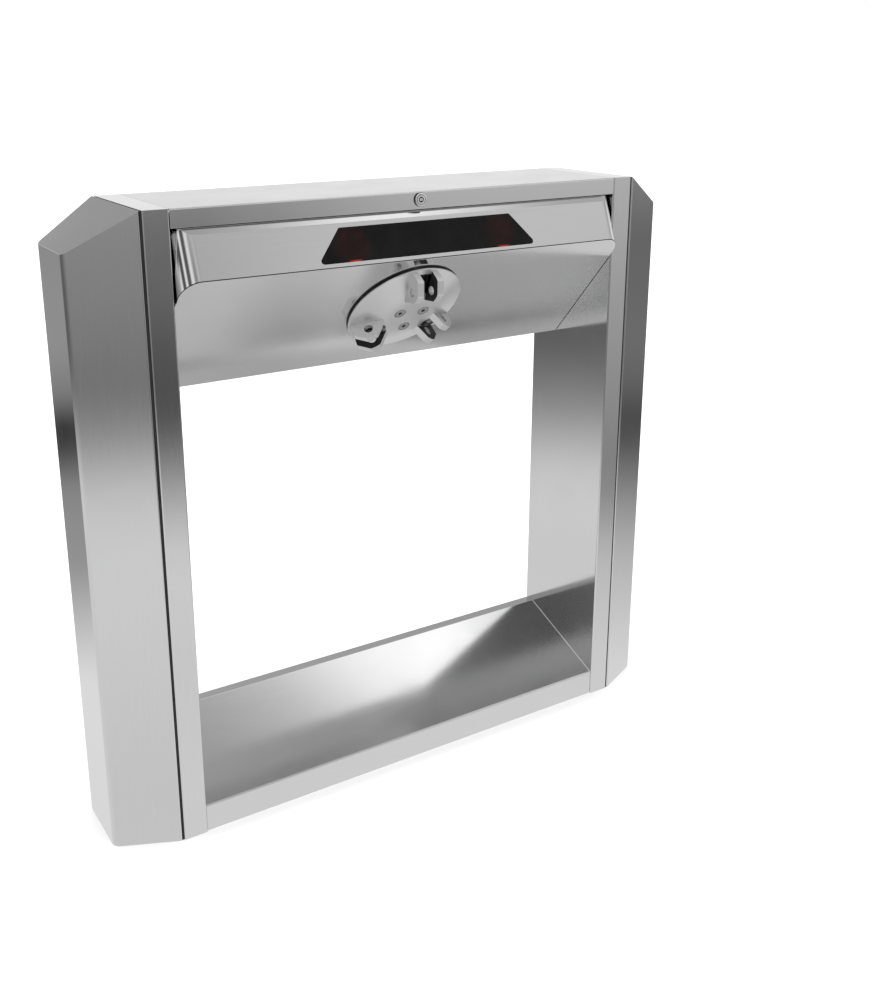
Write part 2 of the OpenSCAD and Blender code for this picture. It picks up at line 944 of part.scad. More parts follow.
module housing_bolts() {
    head = plate_back + flange_t;
    color("gray") on_axis() flange_bolt_places() {
        tube(bolt_d / 2, -head, -plate_front);
        hexagon(bolt_head_w, -head - bolt_head_t, -head);
    }
}

// Placed copies for the two bearings
module bearing_places() {
    for (z = [-front_bearing, -rear_bearing]) translate([0, 0, z]) children();
}

module race() {
    translate([0, 0, -bearing_w / 2]) rotate_extrude() translate([race_r, 0]) circle(r = ball_r + race_gap);
}

module bearing_outer_rings() {
    color("lightsteelblue") on_axis() bearing_places() difference() {
        tube(bore_r, -bearing_w, 0, bore_r - ring_wall);
        race();
    }
}

module bearing_inner_rings() {
    color("lightsteelblue") on_axis() bearing_places() difference() {
        tube(shaft_d / 2 + ring_wall, -bearing_w, 0, shaft_d / 2 + rub);
        race();
    }
}

module bearing_balls() {
    color("white") on_axis() bearing_places() for (i = [0 : balls - 1])
        rotate([0, 0, 360 * i / balls]) translate([race_r, 0, -bearing_w / 2]) sphere(r = ball_r);
}

module bearing_spacer() {
    color("gray") on_axis()
        tube(shaft_d / 2 + ring_wall, -rear_bearing, -front_bearing - bearing_w, shaft_d / 2 + rub);
}

module shaft_seal() {
    color("black") on_axis() tube(bore_r, -seal_front - seal_t, -seal_front, neck_r + rub);
}

module rotor_shaft() {
    flange_back = hub_top - hub_wall - shaft_flange_t;
    color("silver") on_axis() difference() {
        union() {
            tube(tail_r, -tail_back, -nut_back);
            tube(shaft_d / 2, -nut_back, -front_bearing);
            tube(neck_r, -front_bearing, flange_back);
            tube(shaft_flange_r, flange_back, flange_back + shaft_flange_t);
        }
        key_space();
        hub_screw_places() tube(hub_screw_d / 2 + rub, flange_back - over, hub_top);
    }
}

// Space of the key, shared by the shaft and the locking disc
module key_space() {
    block([-key_w / 2, shaft_d / 2 - key_h / 2, -disc_hub_back],
        [key_w / 2, shaft_d / 2 + key_h / 2, -disc_hub_back + key_l]);
}

// Hub and its forks

module hub_screw_places() {
    for (a = hub_screws_at) rotate([0, 0, a]) translate([hub_screw_circle, 0, 0]) children();
}

module hub_dish() {
    under = hub_top - hub_wall;
    rotate([0, 0, forks[0]]) rotate_extrude() polygon([[0, under], [plateau_r - hub_wall / 2, under],
        [hub_r - 2 * hub_wall, hub_gap], [hub_r, hub_gap], [hub_r, hub_gap + rim_t],
        [plateau_r, hub_top], [0, hub_top]]);
}

// Ear in outline: X runs outwards from the hub's axis and Y away from the panel
ear_outline = rounded([
    [ear_root, hub_gap + ear_low], [hub_r - ear_foot_in, hub_gap + ear_low],
    [hub_r - ear_foot_in, hub_gap + ear_foot_h], [hub_r - ear_toe_in, hub_gap + ear_toe_h],
    [pin_radius + ear_crown_out, hub_gap + pin_h + ear_crown_up - ear_crown_fall],
    [pin_radius, hub_gap + pin_h + ear_crown_up],
    [pin_radius - ear_shoulder_in, hub_gap + pin_h + ear_shoulder_up],
    [ear_root, hub_gap + ear_root_h]],
    [0, 0, 0, ear_r, ear_r, ear_r, ear_r, 0]);

// Right ear of a fork that points along X
module ear() {
    along_y(slot_w / 2, slot_w / 2 + ear_t) difference() {
        polygon(ear_outline);
        translate([pin_radius, hub_gap + pin_h]) circle(d = pin_d);
    }
}

// Dish with a slot for each fork and a seat for each ear
module hub() {
    half = slot_w / 2 + ear_t;
    color("gainsboro") on_axis() difference() {
        hub_dish();
        for (a = forks) rotate([0, 0, a]) {
            block([slot_start, -slot_w / 2 - over, hub_gap - over],
                [slot_end, slot_w / 2 + over, hub_top + over]);
            for (y = [-half, slot_w / 2])
                block([ear_root, y, hub_gap - over], [hub_r - ear_foot_in, y + ear_t, hub_top + over]);
        }
        hub_screw_places() {
            tube(hub_screw_d / 2 + rub, hub_gap, hub_top + over);
            translate([0, 0, hub_top - hub_screw_head_h]) cylinder(h = hub_screw_head_h + rub,
                r1 = hub_screw_d / 2 + rub, r2 = hub_screw_head_d / 2 + 2 * rub);
        }
    }
}

module fork_ears() {
    color("gainsboro") on_axis() for (a = forks) rotate([0, 0, a]) {
        ear();
        mirror([0, 1, 0]) ear();
    }
}

module hub_screws() {
    color("gray") on_axis() hub_screw_places() difference() {
        union() {
            tube(hub_screw_d / 2, hub_top - hub_screw_l, hub_top - hub_screw_head_h);
            translate([0, 0, hub_top - hub_screw_head_h]) cylinder(h = hub_screw_head_h - rub,
                r1 = hub_screw_d / 2, r2 = hub_screw_head_d / 2);
        }
        hexagon(hub_socket_w, hub_top - hub_socket_deep, hub_top + over);
    }
}

// Locking disc, encoder and nut

module locking_disc() {
    color("darkgray") on_axis() difference() {
        union() {
            tube(disc_r, -disc_back, -disc_front);
            tube(disc_hub_r, -disc_hub_back, -disc_front);
            tube(boss_r, -disc_front, -housing_l);
        }
        tube(shaft_d / 2 + rub, -disc_hub_back - over, -housing_l + over);
        key_space();
        for (i = [0 : notches - 1]) rotate([0, 0, 360 * i / notches])
            block([disc_r - notch_deep, -notch_w / 2, -disc_back - over],
                [disc_r + over, notch_w / 2, -disc_front + over]);
    }
}

module shaft_key() {
    color("gray") on_axis() block(
        [-key_w / 2 + rub, shaft_d / 2 - key_h / 2 + rub, -disc_hub_back],
        [key_w / 2 - rub, shaft_d / 2 + key_h / 2 - rub, -disc_hub_back + key_l - rub]);
}

module encoder_disc() {
    color("black") on_axis() difference() {
        tube(encoder_r, -disc_hub_back - encoder_t, -disc_hub_back, shaft_d / 2 + rub);
        for (i = [0 : encoder_slots - 1]) rotate([0, 0, 360 * i / encoder_slots])
            block([encoder_r - 1.5 * encoder_slot_l, -encoder_slot_w / 2, -disc_hub_back - encoder_t - over],
                [encoder_r - encoder_slot_l / 2, encoder_slot_w / 2, -disc_hub_back + over]);
    }
}

module shaft_nut() {
    color("gray") on_axis() difference() {
        hexagon(nut_w, -nut_back, -disc_hub_back - encoder_t);
        tube(shaft_d / 2 + rub, -nut_back - over, -disc_hub_back);
    }
}

// Back plate, pillars, pawls and solenoids

module back_plate() {
    color("slategray") on_axis() difference() {
        block([-back_half_x, -back_half_s, -back_face], [back_half_x, back_half_s, -housing_l]);
        tube(mouth_r, -back_face - over, -housing_l + over);
        pillar_places() tube(screw_d / 2 + rub, -back_face - over, -housing_l + over);
        pawl_places() tube(pawl_pin_r + rub, -back_face - over, -housing_l + over);
    }
}

module pillars() {
    color("silver") on_axis() pillar_places() {
        tube(pillar_r, -housing_l, -plate_back);
        tube(screw_d / 2, -back_face, -plate_front);
        tube(screw_head_d / 2, -back_face - screw_head_t, -back_face);
    }
}

module pawl_places() {
    for (x = [-pawl_x, pawl_x]) translate([x, pawl_s, 0]) children();
}

module pawl() {
    inner = pawl_x - pawl_in;
    tip = disc_r + nose_clear;
    color("darkgray") on_axis() difference() {
        union() {
            translate([pawl_x, pawl_s, 0]) tube(pawl_boss_r, -disc_back, -disc_front);
            translate([0, 0, -disc_back]) linear_extrude(disc_t) polygon([
                [inner, pawl_s], [pawl_x + pawl_out, pawl_s], [pawl_x + pawl_out, pawl_top],
                [inner, pawl_top], [inner, nose_high], [tip, nose_high], [tip, nose_low],
                [inner, nose_low]]);
        }
        translate([pawl_x, pawl_s, 0]) tube(pawl_pin_r + rub, -disc_back - over, -disc_front + over);
    }
}

module left_pawl() {
    across_axis() pawl();
}

module right_pawl() {
    pawl();
}

module pawl_pins() {
    color("silver") on_axis() pawl_places() {
        tube(pawl_pin_r, -disc_back - slide, -housing_l);
        tube(pawl_collar_r, -disc_back - slide - washer_t, -disc_back - slide);
        tube(pawl_collar_r, -disc_front + slide, -back_face);
    }
}

coil_axis = back_face + plunger_drop;

// Frame of the right solenoid: Z runs outwards along its axis from the pawl's face
module on_plunger() {
    on_axis() translate([pawl_x + pawl_out + slide, plunger_s, -coil_axis])
        rotate([0, 90, 0]) children();
}

module solenoid() {
    on_plunger() difference() {
        block([-plunger_drop, -coil_w / 2, coil_start],
            [plunger_drop, coil_w / 2, coil_start + coil_l]);
        tube(plunger_r + rub, coil_start - over, coil_start + coil_l - coil_end_wall);
    }
}

module solenoids() {
    color("goldenrod") {
        solenoid();
        across_axis() solenoid();
    }
}

module plunger() {
    color("silver") on_plunger() {
        tube(plunger_rod_r, 0, plunger_rod_l);
        tube(plunger_r, plunger_rod_l, plunger_rod_l + plunger_l - coil_end_wall);
    }
}

module left_plunger() {
    across_axis() plunger();
}

module right_plunger() {
    plunger();
}

// Damper and sensor

module damper_bracket() {
    half = bracket_w / 2;
    color("slategray") on_axis() difference() {
        union() {
            block([-half, -bracket_half_s, -damper_front], [half, bracket_half_s, -bracket_face]);
            for (side = [-1, 1]) {
                far = side * bracket_half_s;
                near = side * (bracket_half_s - bracket_t);
                block([-half, min(near, far), -bracket_face], [half, max(near, far), -back_face]);
            }
        }
        tube(bracket_hole_r, -damper_front - over, -bracket_face + over);
    }
}

module damper() {
    color("dimgray") on_axis() difference() {
        tube(damper_r, -damper_front - damper_l, -damper_front);
        tube(tail_r + rub, -damper_front - damper_bore_l, -damper_front + over);
    }
}

module optical_sensor() {
    half = sensor_w / 2;
    disc = disc_hub_back + encoder_t / 2;
    slot = encoder_t / 2 + sensor_gap;
    color("black") on_axis() difference() {
        block([-half, sensor_in, -bracket_face], [half, sensor_out, -disc_back - sensor_gap]);
        block([-half - over, sensor_in - over, -disc - slot],
            [half + over, encoder_r + sensor_gap, -disc + slot]);
    }
}

// Boxes inside the housing

module control_unit() {
    board_y = rear - sheet_t - unit_pillar - unit_board_t;
    left = unit_x - unit_w / 2;
    low = unit_z - unit_h / 2;
    color("darkgreen") {
        block([left, board_y, low], [left + unit_w, board_y + unit_board_t, low + unit_h]);
        for (x = [board_margin, unit_w - board_margin], z = [board_margin, unit_h - board_margin])
            translate([left + x, rear - sheet_t, low + z]) rotate([90, 0, 0])
                tube(pillar_small_r, 0, unit_pillar + unit_board_t / 2);
        for (i = [0 : terminals - 1])
            translate([left + board_margin + i * terminal_pitch, 0, low + board_margin])
                block([0, board_y - terminal_h, 0], [terminal_w, board_y, terminal_t]);
    }
}

module power_supply() {
    back = rear - sheet_t;
    color("gray") block([-unit_x - supply_w / 2, back - supply_d, unit_z - supply_h / 2],
        [-unit_x + supply_w / 2, back, unit_z + supply_h / 2]);
}

module wiring_trunk() {
    back = rear - sheet_t;
    half = web_x - trunk_end_gap;
    color("lightgray") difference() {
        block([-half, back - trunk_w, trunk_z], [half, back, trunk_z + trunk_w]);
        block([-half - over, back - trunk_w + sheet_t, trunk_z + sheet_t],
            [half + over, back - sheet_t, trunk_z + trunk_w - sheet_t]);
    }
}

left_post();
right_post();
base_beam();
left_foot_plate();
right_foot_plate();
left_end_cover();
right_end_cover();
left_cover_gasket();
right_cover_gasket();
cover_studs();
nose_panel();
lower_panel();
rear_panel();
rear_screws();
window();
window_gasket();
left_light();
right_light();
light_board();
light_pillars();
lid();
hinge_leaves_fixed();
hinge_leaves_lid();
lock_barrel();
lock_clip();
lock_plug();
lock_cam();
cam_screw();
lock_keeper();
mechanism_plate();
plate_studs();
bearing_housing();
housing_bolts();
bearing_outer_rings();
bearing_inner_rings();
bearing_balls();
bearing_spacer();
shaft_seal();
rotor_shaft();
hub();
fork_ears();
hub_screws();
locking_disc();
shaft_key();
encoder_disc();
shaft_nut();
back_plate();
pillars();
left_pawl();
right_pawl();
pawl_pins();
solenoids();
left_plunger();
right_plunger();
damper();
damper_bracket();
optical_sensor();
control_unit();
power_supply();
wiring_trunk();
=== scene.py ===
"""Tripod turnstile dressed in brushed sheet steel, on a pale floor in soft studio light."""
import json
import math

import bmesh
import bpy
import numpy as np
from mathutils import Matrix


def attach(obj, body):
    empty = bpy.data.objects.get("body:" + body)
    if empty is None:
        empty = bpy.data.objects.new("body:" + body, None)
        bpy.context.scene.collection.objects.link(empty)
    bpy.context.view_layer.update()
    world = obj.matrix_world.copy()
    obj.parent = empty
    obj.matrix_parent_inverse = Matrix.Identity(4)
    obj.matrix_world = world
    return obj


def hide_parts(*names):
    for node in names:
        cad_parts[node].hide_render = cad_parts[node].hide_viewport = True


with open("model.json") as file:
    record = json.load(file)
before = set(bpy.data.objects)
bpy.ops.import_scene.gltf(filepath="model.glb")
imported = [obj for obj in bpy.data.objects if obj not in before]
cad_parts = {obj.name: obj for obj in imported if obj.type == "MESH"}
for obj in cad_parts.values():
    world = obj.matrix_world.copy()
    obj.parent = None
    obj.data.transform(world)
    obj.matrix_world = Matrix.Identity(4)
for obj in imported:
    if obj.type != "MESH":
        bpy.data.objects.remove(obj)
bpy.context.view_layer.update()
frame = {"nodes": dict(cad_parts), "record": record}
nodes = frame["nodes"]

MM = 0.001

# Sizes of the frame, in millimetres, as the solids have them
TOP = 1000.0
FRONT, REAR = -106.5, 106.5
WEB_X, POST_X, COVER_X, END_X = 400.0, 439.0, 442.0, 540.0
SHEET = 2.0
CHAMFER, FALL, COVER_BEND = 44.0, 57.6, 15.0
CORNER_R, POST_EDGE, COVER_EDGE = 2.4, 0.35, 0.6
SET_BACK = 3.0
LIP_Z, PLATE_Y, PLATE_Z, BEAM_BEND = 46.5, 85.0, 122.0, 3.0
LID_FLANGE, LID_BEND, LID_PLAY = 27.4, 2.2, 0.3
# Half of what the slanted panel and the base are narrower than the space between the webs
PANEL_JOINT, BASE_JOINT = 1.1, 1.2
LAND_Z = 970.6
UPPER = np.array([-112.1, 961.8])
LOWER = np.array([-135.8, 899.2])
SLOPE = math.radians(48.2)
PANEL_L, CORNER_L, PANEL_FLANGE = 262.0, 44.0, 16.0
FOOT = LOWER + PANEL_L * np.array([math.cos(SLOPE), -math.sin(SLOPE)])
NOSE_X, NOSE_R, CHEEK_L, RIM_TALL = 398.0, 30.0, 17.0, 2.4
# Dark joint line between the nose and the slanted panel: its width, and the gap that is left under it
SEAM, SEAM_GAP = 1.7, 0.15
FACE = UPPER - LOWER
FACE_L = float(np.hypot(*FACE))
FACE_UP = np.array([0.0, *(FACE / FACE_L)])
FACE_OUT = np.array([0.0, -FACE_UP[2], FACE_UP[1]])
WINDOW = dict(top=6.5, height=53.0, top_half=156.5, low_half=200.5, shift=14.0, r=5.0)
# Pane and seal: how far their edges lie inside the opening, and their back and front from the face
PANE_IN, PANE_BACK, PANE_FRONT = 0.5, -4.0, -0.2
SEAL_IN, SEAL_BACK, SEAL_FRONT = -0.1, -3.0, -1.4
LIGHTS = (-124.0, 149.0)
LIGHT_DROP = 32.7
HUB_DOWN, HUB_SHIFT = 118.0, 4.5
AXIS_OUT = np.array([0.0, -math.sin(SLOPE), -math.cos(SLOPE)])
AXIS_UP = np.array([0.0, -math.cos(SLOPE), math.sin(SLOPE)])
HUB = np.array([HUB_SHIFT, LOWER[0] + HUB_DOWN * math.cos(SLOPE), LOWER[1] - HUB_DOWN * math.sin(SLOPE)])
HUB_GAP, HUB_R, HUB_TOP, PLATEAU_R = 3.0, 99.0, 23.0, 48.0
FORKS = (90, 210, 330)
SLOT_IN, SLOT_OUT, SLOT_HALF = 41.0, 90.0, 12.0
SCREWS, SCREW_AT, SCREW_HOLE, SCREW_SUNK = (30, 150, 270), 25.0, 9.8, 2.0
EAR_IN, EAR_OUT, EAR_HOLE, EAR_HOLE_R = 12.0, 24.0, (69.0, 22.5), 7.0
# Points closer than this are one point, in metres
MERGE = 2e-5


# Lines and surfaces

def softened(points, radii, steps=8, closed=False):
    """Corner i becomes an arc of radius r: centre c = p + (u + v)/|u + v| * r/sin(half angle), swept from
    the touching point on one side to the one on the other."""
    p = np.asarray(points, float)
    n = len(p)
    out = []
    for i in range(n):
        if radii[i] <= 0 or (not closed and i in (0, n - 1)):
            out.append(p[i][None])
            continue
        a, b = p[i - 1] - p[i], p[(i + 1) % n] - p[i]
        u, v = a / np.hypot(*a), b / np.hypot(*b)
        half = math.acos(float(np.clip(u @ v, -1, 1))) / 2
        c = p[i] + (u + v) / np.hypot(*(u + v)) * radii[i] / math.sin(half)
        s = p[i] + u * radii[i] / math.tan(half) - c
        e = p[i] + v * radii[i] / math.tan(half) - c
        start = math.atan2(s[1], s[0])
        turn = (math.atan2(e[1], e[0]) - start + 3 * math.pi) % (2 * math.pi) - math.pi
        t = start + turn * np.linspace(0, 1, steps + 1)
        out.append(c + radii[i] * np.column_stack([np.cos(t), np.sin(t)]))
    return np.vstack(out)


def beside(p, t, closed=False):
    """Line moved to its left by t: each point goes along the mitre m = (n1 + n2) t / (1 + n1.n2) of the
    normals of its two edges."""
    d = np.roll(p, -1, 0) - p
    if not closed:
        d[-1] = d[-2]
    normal = np.column_stack([-d[:, 1], d[:, 0]]) / np.hypot(d[:, 0], d[:, 1])[:, None]
    before = np.roll(normal, 1, 0)
    if not closed:
        before[0] = normal[0]
    share = t / (1 + (normal * before).sum(1))
    return p + (normal + before) * share[:, None]


def grid(rows, cols, wrap=False, start=0):
    """Quads of a grid of rows times cols points, numbered row by row, closed round the columns if wrapped."""
    i = np.arange(rows - 1)[:, None] * cols
    j = np.arange(cols if wrap else cols - 1)[None]
    k = (j + 1) % cols
    return np.stack([i + j, i + k, i + cols + k, i + cols + j], -1).reshape(-1, 4) + start


def finish_mesh(obj, bevel=0.0, sharp=30.0):
    """Doubles merged, normals turned outwards, edges over the sharp angle kept crisp and then eased by a
    small bevel, and the shading of flat sheets held flat."""
    bm = bmesh.new()
    bm.from_mesh(obj.data)
    bmesh.ops.remove_doubles(bm, verts=bm.verts, dist=MERGE)
    bmesh.ops.recalc_face_normals(bm, faces=bm.faces)
    bm.to_mesh(obj.data)
    bm.free()
    obj.data.polygons.foreach_set("use_smooth", np.ones(len(obj.data.polygons), bool))
    obj.data.set_sharp_from_angle(angle=math.radians(sharp))
    if bevel:
        m = obj.modifiers.new("eased", "BEVEL")
        m.width = bevel * MM
        m.segments = 3
        m.limit_method = "ANGLE"
        m.angle_limit = math.radians(sharp)
        m.harden_normals = False
    w = obj.modifiers.new("flat", "WEIGHTED_NORMAL")
    w.keep_sharp = not bevel
    return obj


def piece(name, verts, faces, body="frame", node=None, material=None,
          bevel=0.0, sharp=30.0):
    """A mesh of points in millimetres that rides on a body and stands for a node."""
    mesh = bpy.data.meshes.new(name)
    mesh.from_pydata((np.asarray(verts, float) * MM).tolist(), [], [list(f) for f in faces])
    obj = bpy.data.objects.new(name, mesh)
    bpy.context.scene.collection.objects.link(obj)
    finish_mesh(obj, bevel, sharp)
    if material:
        mesh.materials.append(material)
    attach(obj, body)
    if node:
        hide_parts(*([node] if isinstance(node, str) else node))
    return obj


def mirrored(verts):
    """The same points on the other side of the turnstile."""
    return verts * np.array([-1.0, 1.0, 1.0])


def strip(line, half, t=SHEET, shift=0.0):
    """Sheet folded along an open line in Y and Z: the outer and the inner line, a thickness apart, each
    drawn from -half to +half in X, with half a number or one width for each point of the line."""
    n = len(line)
    half = np.broadcast_to(np.asarray(half, float), (n,))
    inner = beside(line, t)
    ring = np.vstack([line, inner[::-1]])
    h = np.concatenate([half, half[::-1]])
    left = np.column_stack([shift - h, ring])
    right = np.column_stack([shift + h, ring])
    m = 2 * n
    faces = grid(2, m, wrap=True).tolist()
    i = np.arange(n - 1)
    for base, turn in ((0, 1), (m, -1)):
        quads = np.column_stack([i, i + 1, m - 2 - i, m - 1 - i]) + base
        faces += quads[:, ::turn].tolist()
    return np.vstack([left, right]), faces


def pot(outline, height, edge, t=SHEET, steps=4):
    """Sheet box that is open below: the outline runs straight up, turns in over an eased edge along a
    quarter circle (inset = r (1 - cos a), z = top - r (1 - sin a)) and closes in a top plane; the inner
    wall follows a thickness inside."""
    def shell(plan, low, lid):
        """One wall of the box with its eased edge, and the number of its rows."""
        a = np.linspace(0, math.pi / 2, steps + 1)
        rows = [np.column_stack([plan, np.full(len(plan), low)])]
        for k in a:
            ring = beside(plan, edge * (1 - math.cos(k)), closed=True)
            rows.append(np.column_stack([ring, height(ring[:, 0]) - lid - edge * (1 - math.sin(k))]))
        return np.vstack(rows), len(rows)
    n = len(outline)
    out, rows = shell(outline, 0.0, 0.0)
    inner, _ = shell(beside(outline, t, closed=True), 0.0, t)
    faces = grid(rows, n, wrap=True).tolist()
    j = np.arange(n)
    top = (rows - 1) * n
    s = len(out)
    faces += [(top + j).tolist(), (top + s + j)[::-1].tolist()]
    faces += grid(rows, n, wrap=True, start=s)[:, ::-1].tolist()
    faces += np.column_stack([j, s + j, s + (j + 1) % n, (j + 1) % n]).tolist()
    return np.vstack([out, inner]), faces


def prism(outline, frame_of, low, high, hole=None):
    """Outline raised from low to high along the third axis of a frame; around a hole the two flat sides
    are rings of quads, from each outline point to the hole's point in the same direction."""
    n = len(outline)
    rings = [outline, outline]
    if hole is not None:
        centre, r = hole
        ray = outline - centre
        ring = centre + r * ray / np.hypot(ray[:, 0], ray[:, 1])[:, None]
        rings = [outline, outline, ring, ring]
    z = [low, high, high, low][:len(rings)]
    pts = np.vstack([frame_of(r[:, 0], r[:, 1], np.full(n, h)) for r, h in zip(rings, z)])
    faces = grid(len(rings), n, wrap=True).tolist()
    j = np.arange(n)
    if hole is None:
        faces += [j[::-1].tolist(), (n + j).tolist()]
    else:
        faces += np.column_stack([3 * n + j, 3 * n + (j + 1) % n, (j + 1) % n, j]).tolist()
    return pts, faces


def on_axis(x, s, z):
    """Points across, up the slope, and outwards from the slanted panel at the hub's axis."""
    return HUB + np.outer(x, [1, 0, 0]) + np.outer(s, AXIS_UP) + np.outer(z, AXIS_OUT)


def on_face(x, up, out):
    """Points across, up the nose's face from its upper crease, and outwards from it."""
    return np.array([0, *UPPER]) + np.outer(x, [1, 0, 0]) + np.outer(up, FACE_UP) + np.outer(out, FACE_OUT)


def turned(x, s, degrees):
    """Points turned about the hub's axis."""
    a = math.radians(degrees)
    return x * math.cos(a) - s * math.sin(a), x * math.sin(a) + s * math.cos(a)


# Shader groups and finishes

def group(name, inputs, outputs, build):
    """A shader node group with named sockets; build gets its tree, its inputs and its outputs."""
    tree = bpy.data.node_groups.new(name, "ShaderNodeTree")
    for label, kind, value in inputs:
        s = tree.interface.new_socket(name=label, in_out="INPUT", socket_type=kind)
        s.default_value = value
    for label, kind in outputs:
        tree.interface.new_socket(name=label, in_out="OUTPUT", socket_type=kind)
    build(tree, tree.nodes.new("NodeGroupInput").outputs, tree.nodes.new("NodeGroupOutput").inputs)
    return tree


def node(tree, kind, inputs=None, **settings):
    """A node whose settings and input sockets are given; a socket as a value is linked."""
    n = tree.nodes.new(kind)
    for k, v in settings.items():
        setattr(n, k, v)
    for k, v in (inputs or {}).items():
        if isinstance(v, bpy.types.NodeSocket):
            tree.links.new(v, n.inputs[k])
        else:
            n.inputs[k].default_value = v
    return n


def maths(tree, how, *values):
    """Result of an operation on numbers or sockets."""
    return node(tree, "ShaderNodeMath", dict(enumerate(values)), operation=how).outputs[0]


def vectors(tree, how, *values):
    """Result of an operation on vectors: a number for a distance or a length, else a vector."""
    n = node(tree, "ShaderNodeVectorMath", dict(enumerate(values)), operation=how)
    return n.outputs["Value" if how in ("DISTANCE", "LENGTH") else "Vector"]


def faded(tree, value, start, end, low=0.0, high=1.0, how="LINEAR"):
    """Number that goes from low to high while the value goes from start to end."""
    given = {"Value": value, "From Min": start, "From Max": end, "To Min": low, "To Max": high}
    return node(tree, "ShaderNodeMapRange", given, interpolation_type=how).outputs[0]


def build_brushing(tree, given, out):
    """Long fine lines: two noises, each squeezed hard across the grain, added."""
    fine = vectors(tree, "MULTIPLY", given["Vector"], given["Stretch"])
    wide = vectors(tree, "MULTIPLY", fine, (0.6, 0.6, 0.6))
    a = node(tree, "ShaderNodeTexNoise", {"Vector": fine, "Scale": 1.0, "Detail": 3.0}).outputs[0]
    b = node(tree, "ShaderNodeTexNoise", {"Vector": wide, "Scale": 1.0, "Detail": 2.0}).outputs[0]
    tree.links.new(faded(tree, maths(tree, "ADD", a, b), 0.6, 1.4), out["Lines"])


def build_smudges(tree, given, out):
    """Broad soft patches, such as handling leaves on steel."""
    a = node(tree, "ShaderNodeTexNoise", {"Vector": given["Vector"], "Scale": given["Scale"], "Detail": 4.0,
                                          "Roughness": 0.6, "Distortion": 0.4}).outputs[0]
    tree.links.new(faded(tree, a, 0.35, 0.7, how="SMOOTHSTEP"), out["Patches"])


def build_grain(tree, given, out):
    """Fine pebbled grain of cast, moulded or painted surfaces."""
    a = node(tree, "ShaderNodeTexNoise", {"Vector": given["Vector"], "Scale": given["Scale"], "Detail": 5.0,
                                          "Roughness": 0.65}).outputs[0]
    b = node(tree, "ShaderNodeTexVoronoi", {"Vector": given["Vector"], "Scale": given["Scale"]})
    tree.links.new(maths(tree, "MULTIPLY", a, b.outputs["Distance"]), out["Grain"])


BRUSHING = group("brushing", [("Vector", "NodeSocketVector", (0, 0, 0)),
                              ("Stretch", "NodeSocketVector", (1, 1, 1))],
                 [("Lines", "NodeSocketFloat")], build_brushing)
SMUDGES = group("smudges", [("Vector", "NodeSocketVector", (0, 0, 0)), ("Scale", "NodeSocketFloat", 5.0)],
                [("Patches", "NodeSocketFloat")], build_smudges)
GRAIN = group("grain", [("Vector", "NodeSocketVector", (0, 0, 0)), ("Scale", "NodeSocketFloat", 900.0)],
              [("Grain", "NodeSocketFloat")], build_grain)


def placed(tree, grp, **inputs):
    """A group placed in a material with its own values."""
    return node(tree, "ShaderNodeGroup", {k.replace("_", " "): v for k, v in inputs.items()}, node_tree=grp)


def blank(name):
    """A new material with its tree, its one shader and the place on the object."""
    m = bpy.data.materials.new(name)
    m.use_nodes = True
    tree = m.node_tree
    tree.nodes.clear()
    bsdf = tree.nodes.new("ShaderNodeBsdfPrincipled")
    out = tree.nodes.new("ShaderNodeOutputMaterial")
    tree.links.new(bsdf.outputs[0], out.inputs["Surface"])
    place = tree.nodes.new("ShaderNodeTexCoord").outputs["Object"]
    return m, tree, bsdf, place


def ranged(tree, value, low, high):
    """Number that goes from low to high with a mask."""
    return faded(tree, value, 0.0, 1.0, low, high)


def toned(tree, mask, dark, light):
    """Colour that goes from dark to light with the mask."""
    m = tree.nodes.new("ShaderNodeMix")
    m.data_type = "RGBA"
    tree.links.new(mask, m.inputs[0])
    m.inputs[6].default_value = (*dark, 1)
    m.inputs[7].default_value = (*light, 1)
    return m.outputs[2]


def bumped(tree, bsdf, height, strength, distance):
    """The mask as fine relief."""
    b = node(tree, "ShaderNodeBump", {"Strength": strength, "Distance": distance, "Height": height})
    tree.links.new(b.outputs[0], bsdf.inputs["Normal"])


def ramp(tree, value, stops):
    """Greys along a value from 0 to 1."""
    n = tree.nodes.new("ShaderNodeValToRGB")
    tree.links.new(value, n.inputs[0])
    n.color_ramp.interpolation = "LINEAR"
    while len(n.color_ramp.elements) < len(stops):
        n.color_ramp.elements.new(0.5)
    for e, (at, v) in zip(n.color_ramp.elements, stops):
        e.position = at
        e.color = (v, v, v, 1)
    return n.outputs[0]


def brushed(name, stretch, tone=0.74, rough=0.10):
    """Brushed stainless steel: the grain lines change tone, roughness and height, and smudges dull it."""
    spread, dulling, relief = 0.03, 0.03, 0.03
    m, tree, bsdf, place = blank(name)
    lines = placed(tree, BRUSHING, Vector=place, Stretch=stretch).outputs[0]
    patches = placed(tree, SMUDGES, Vector=place, Scale=7.0).outputs[0]
    low = (tone * 0.97, tone * 0.972, tone * 0.975)
    high = (tone * 1.02, tone * 1.02, tone * 1.018)
    tree.links.new(toned(tree, lines, low, high), bsdf.inputs["Base Color"])
    grained = ranged(tree, lines, rough - spread / 2, rough + spread / 2)
    tree.links.new(maths(tree, "ADD", grained, ranged(tree, patches, 0.0, dulling)), bsdf.inputs["Roughness"])
    bsdf.inputs["Metallic"].default_value = 1.0
    bumped(tree, bsdf, lines, relief, 0.0001)
    return m


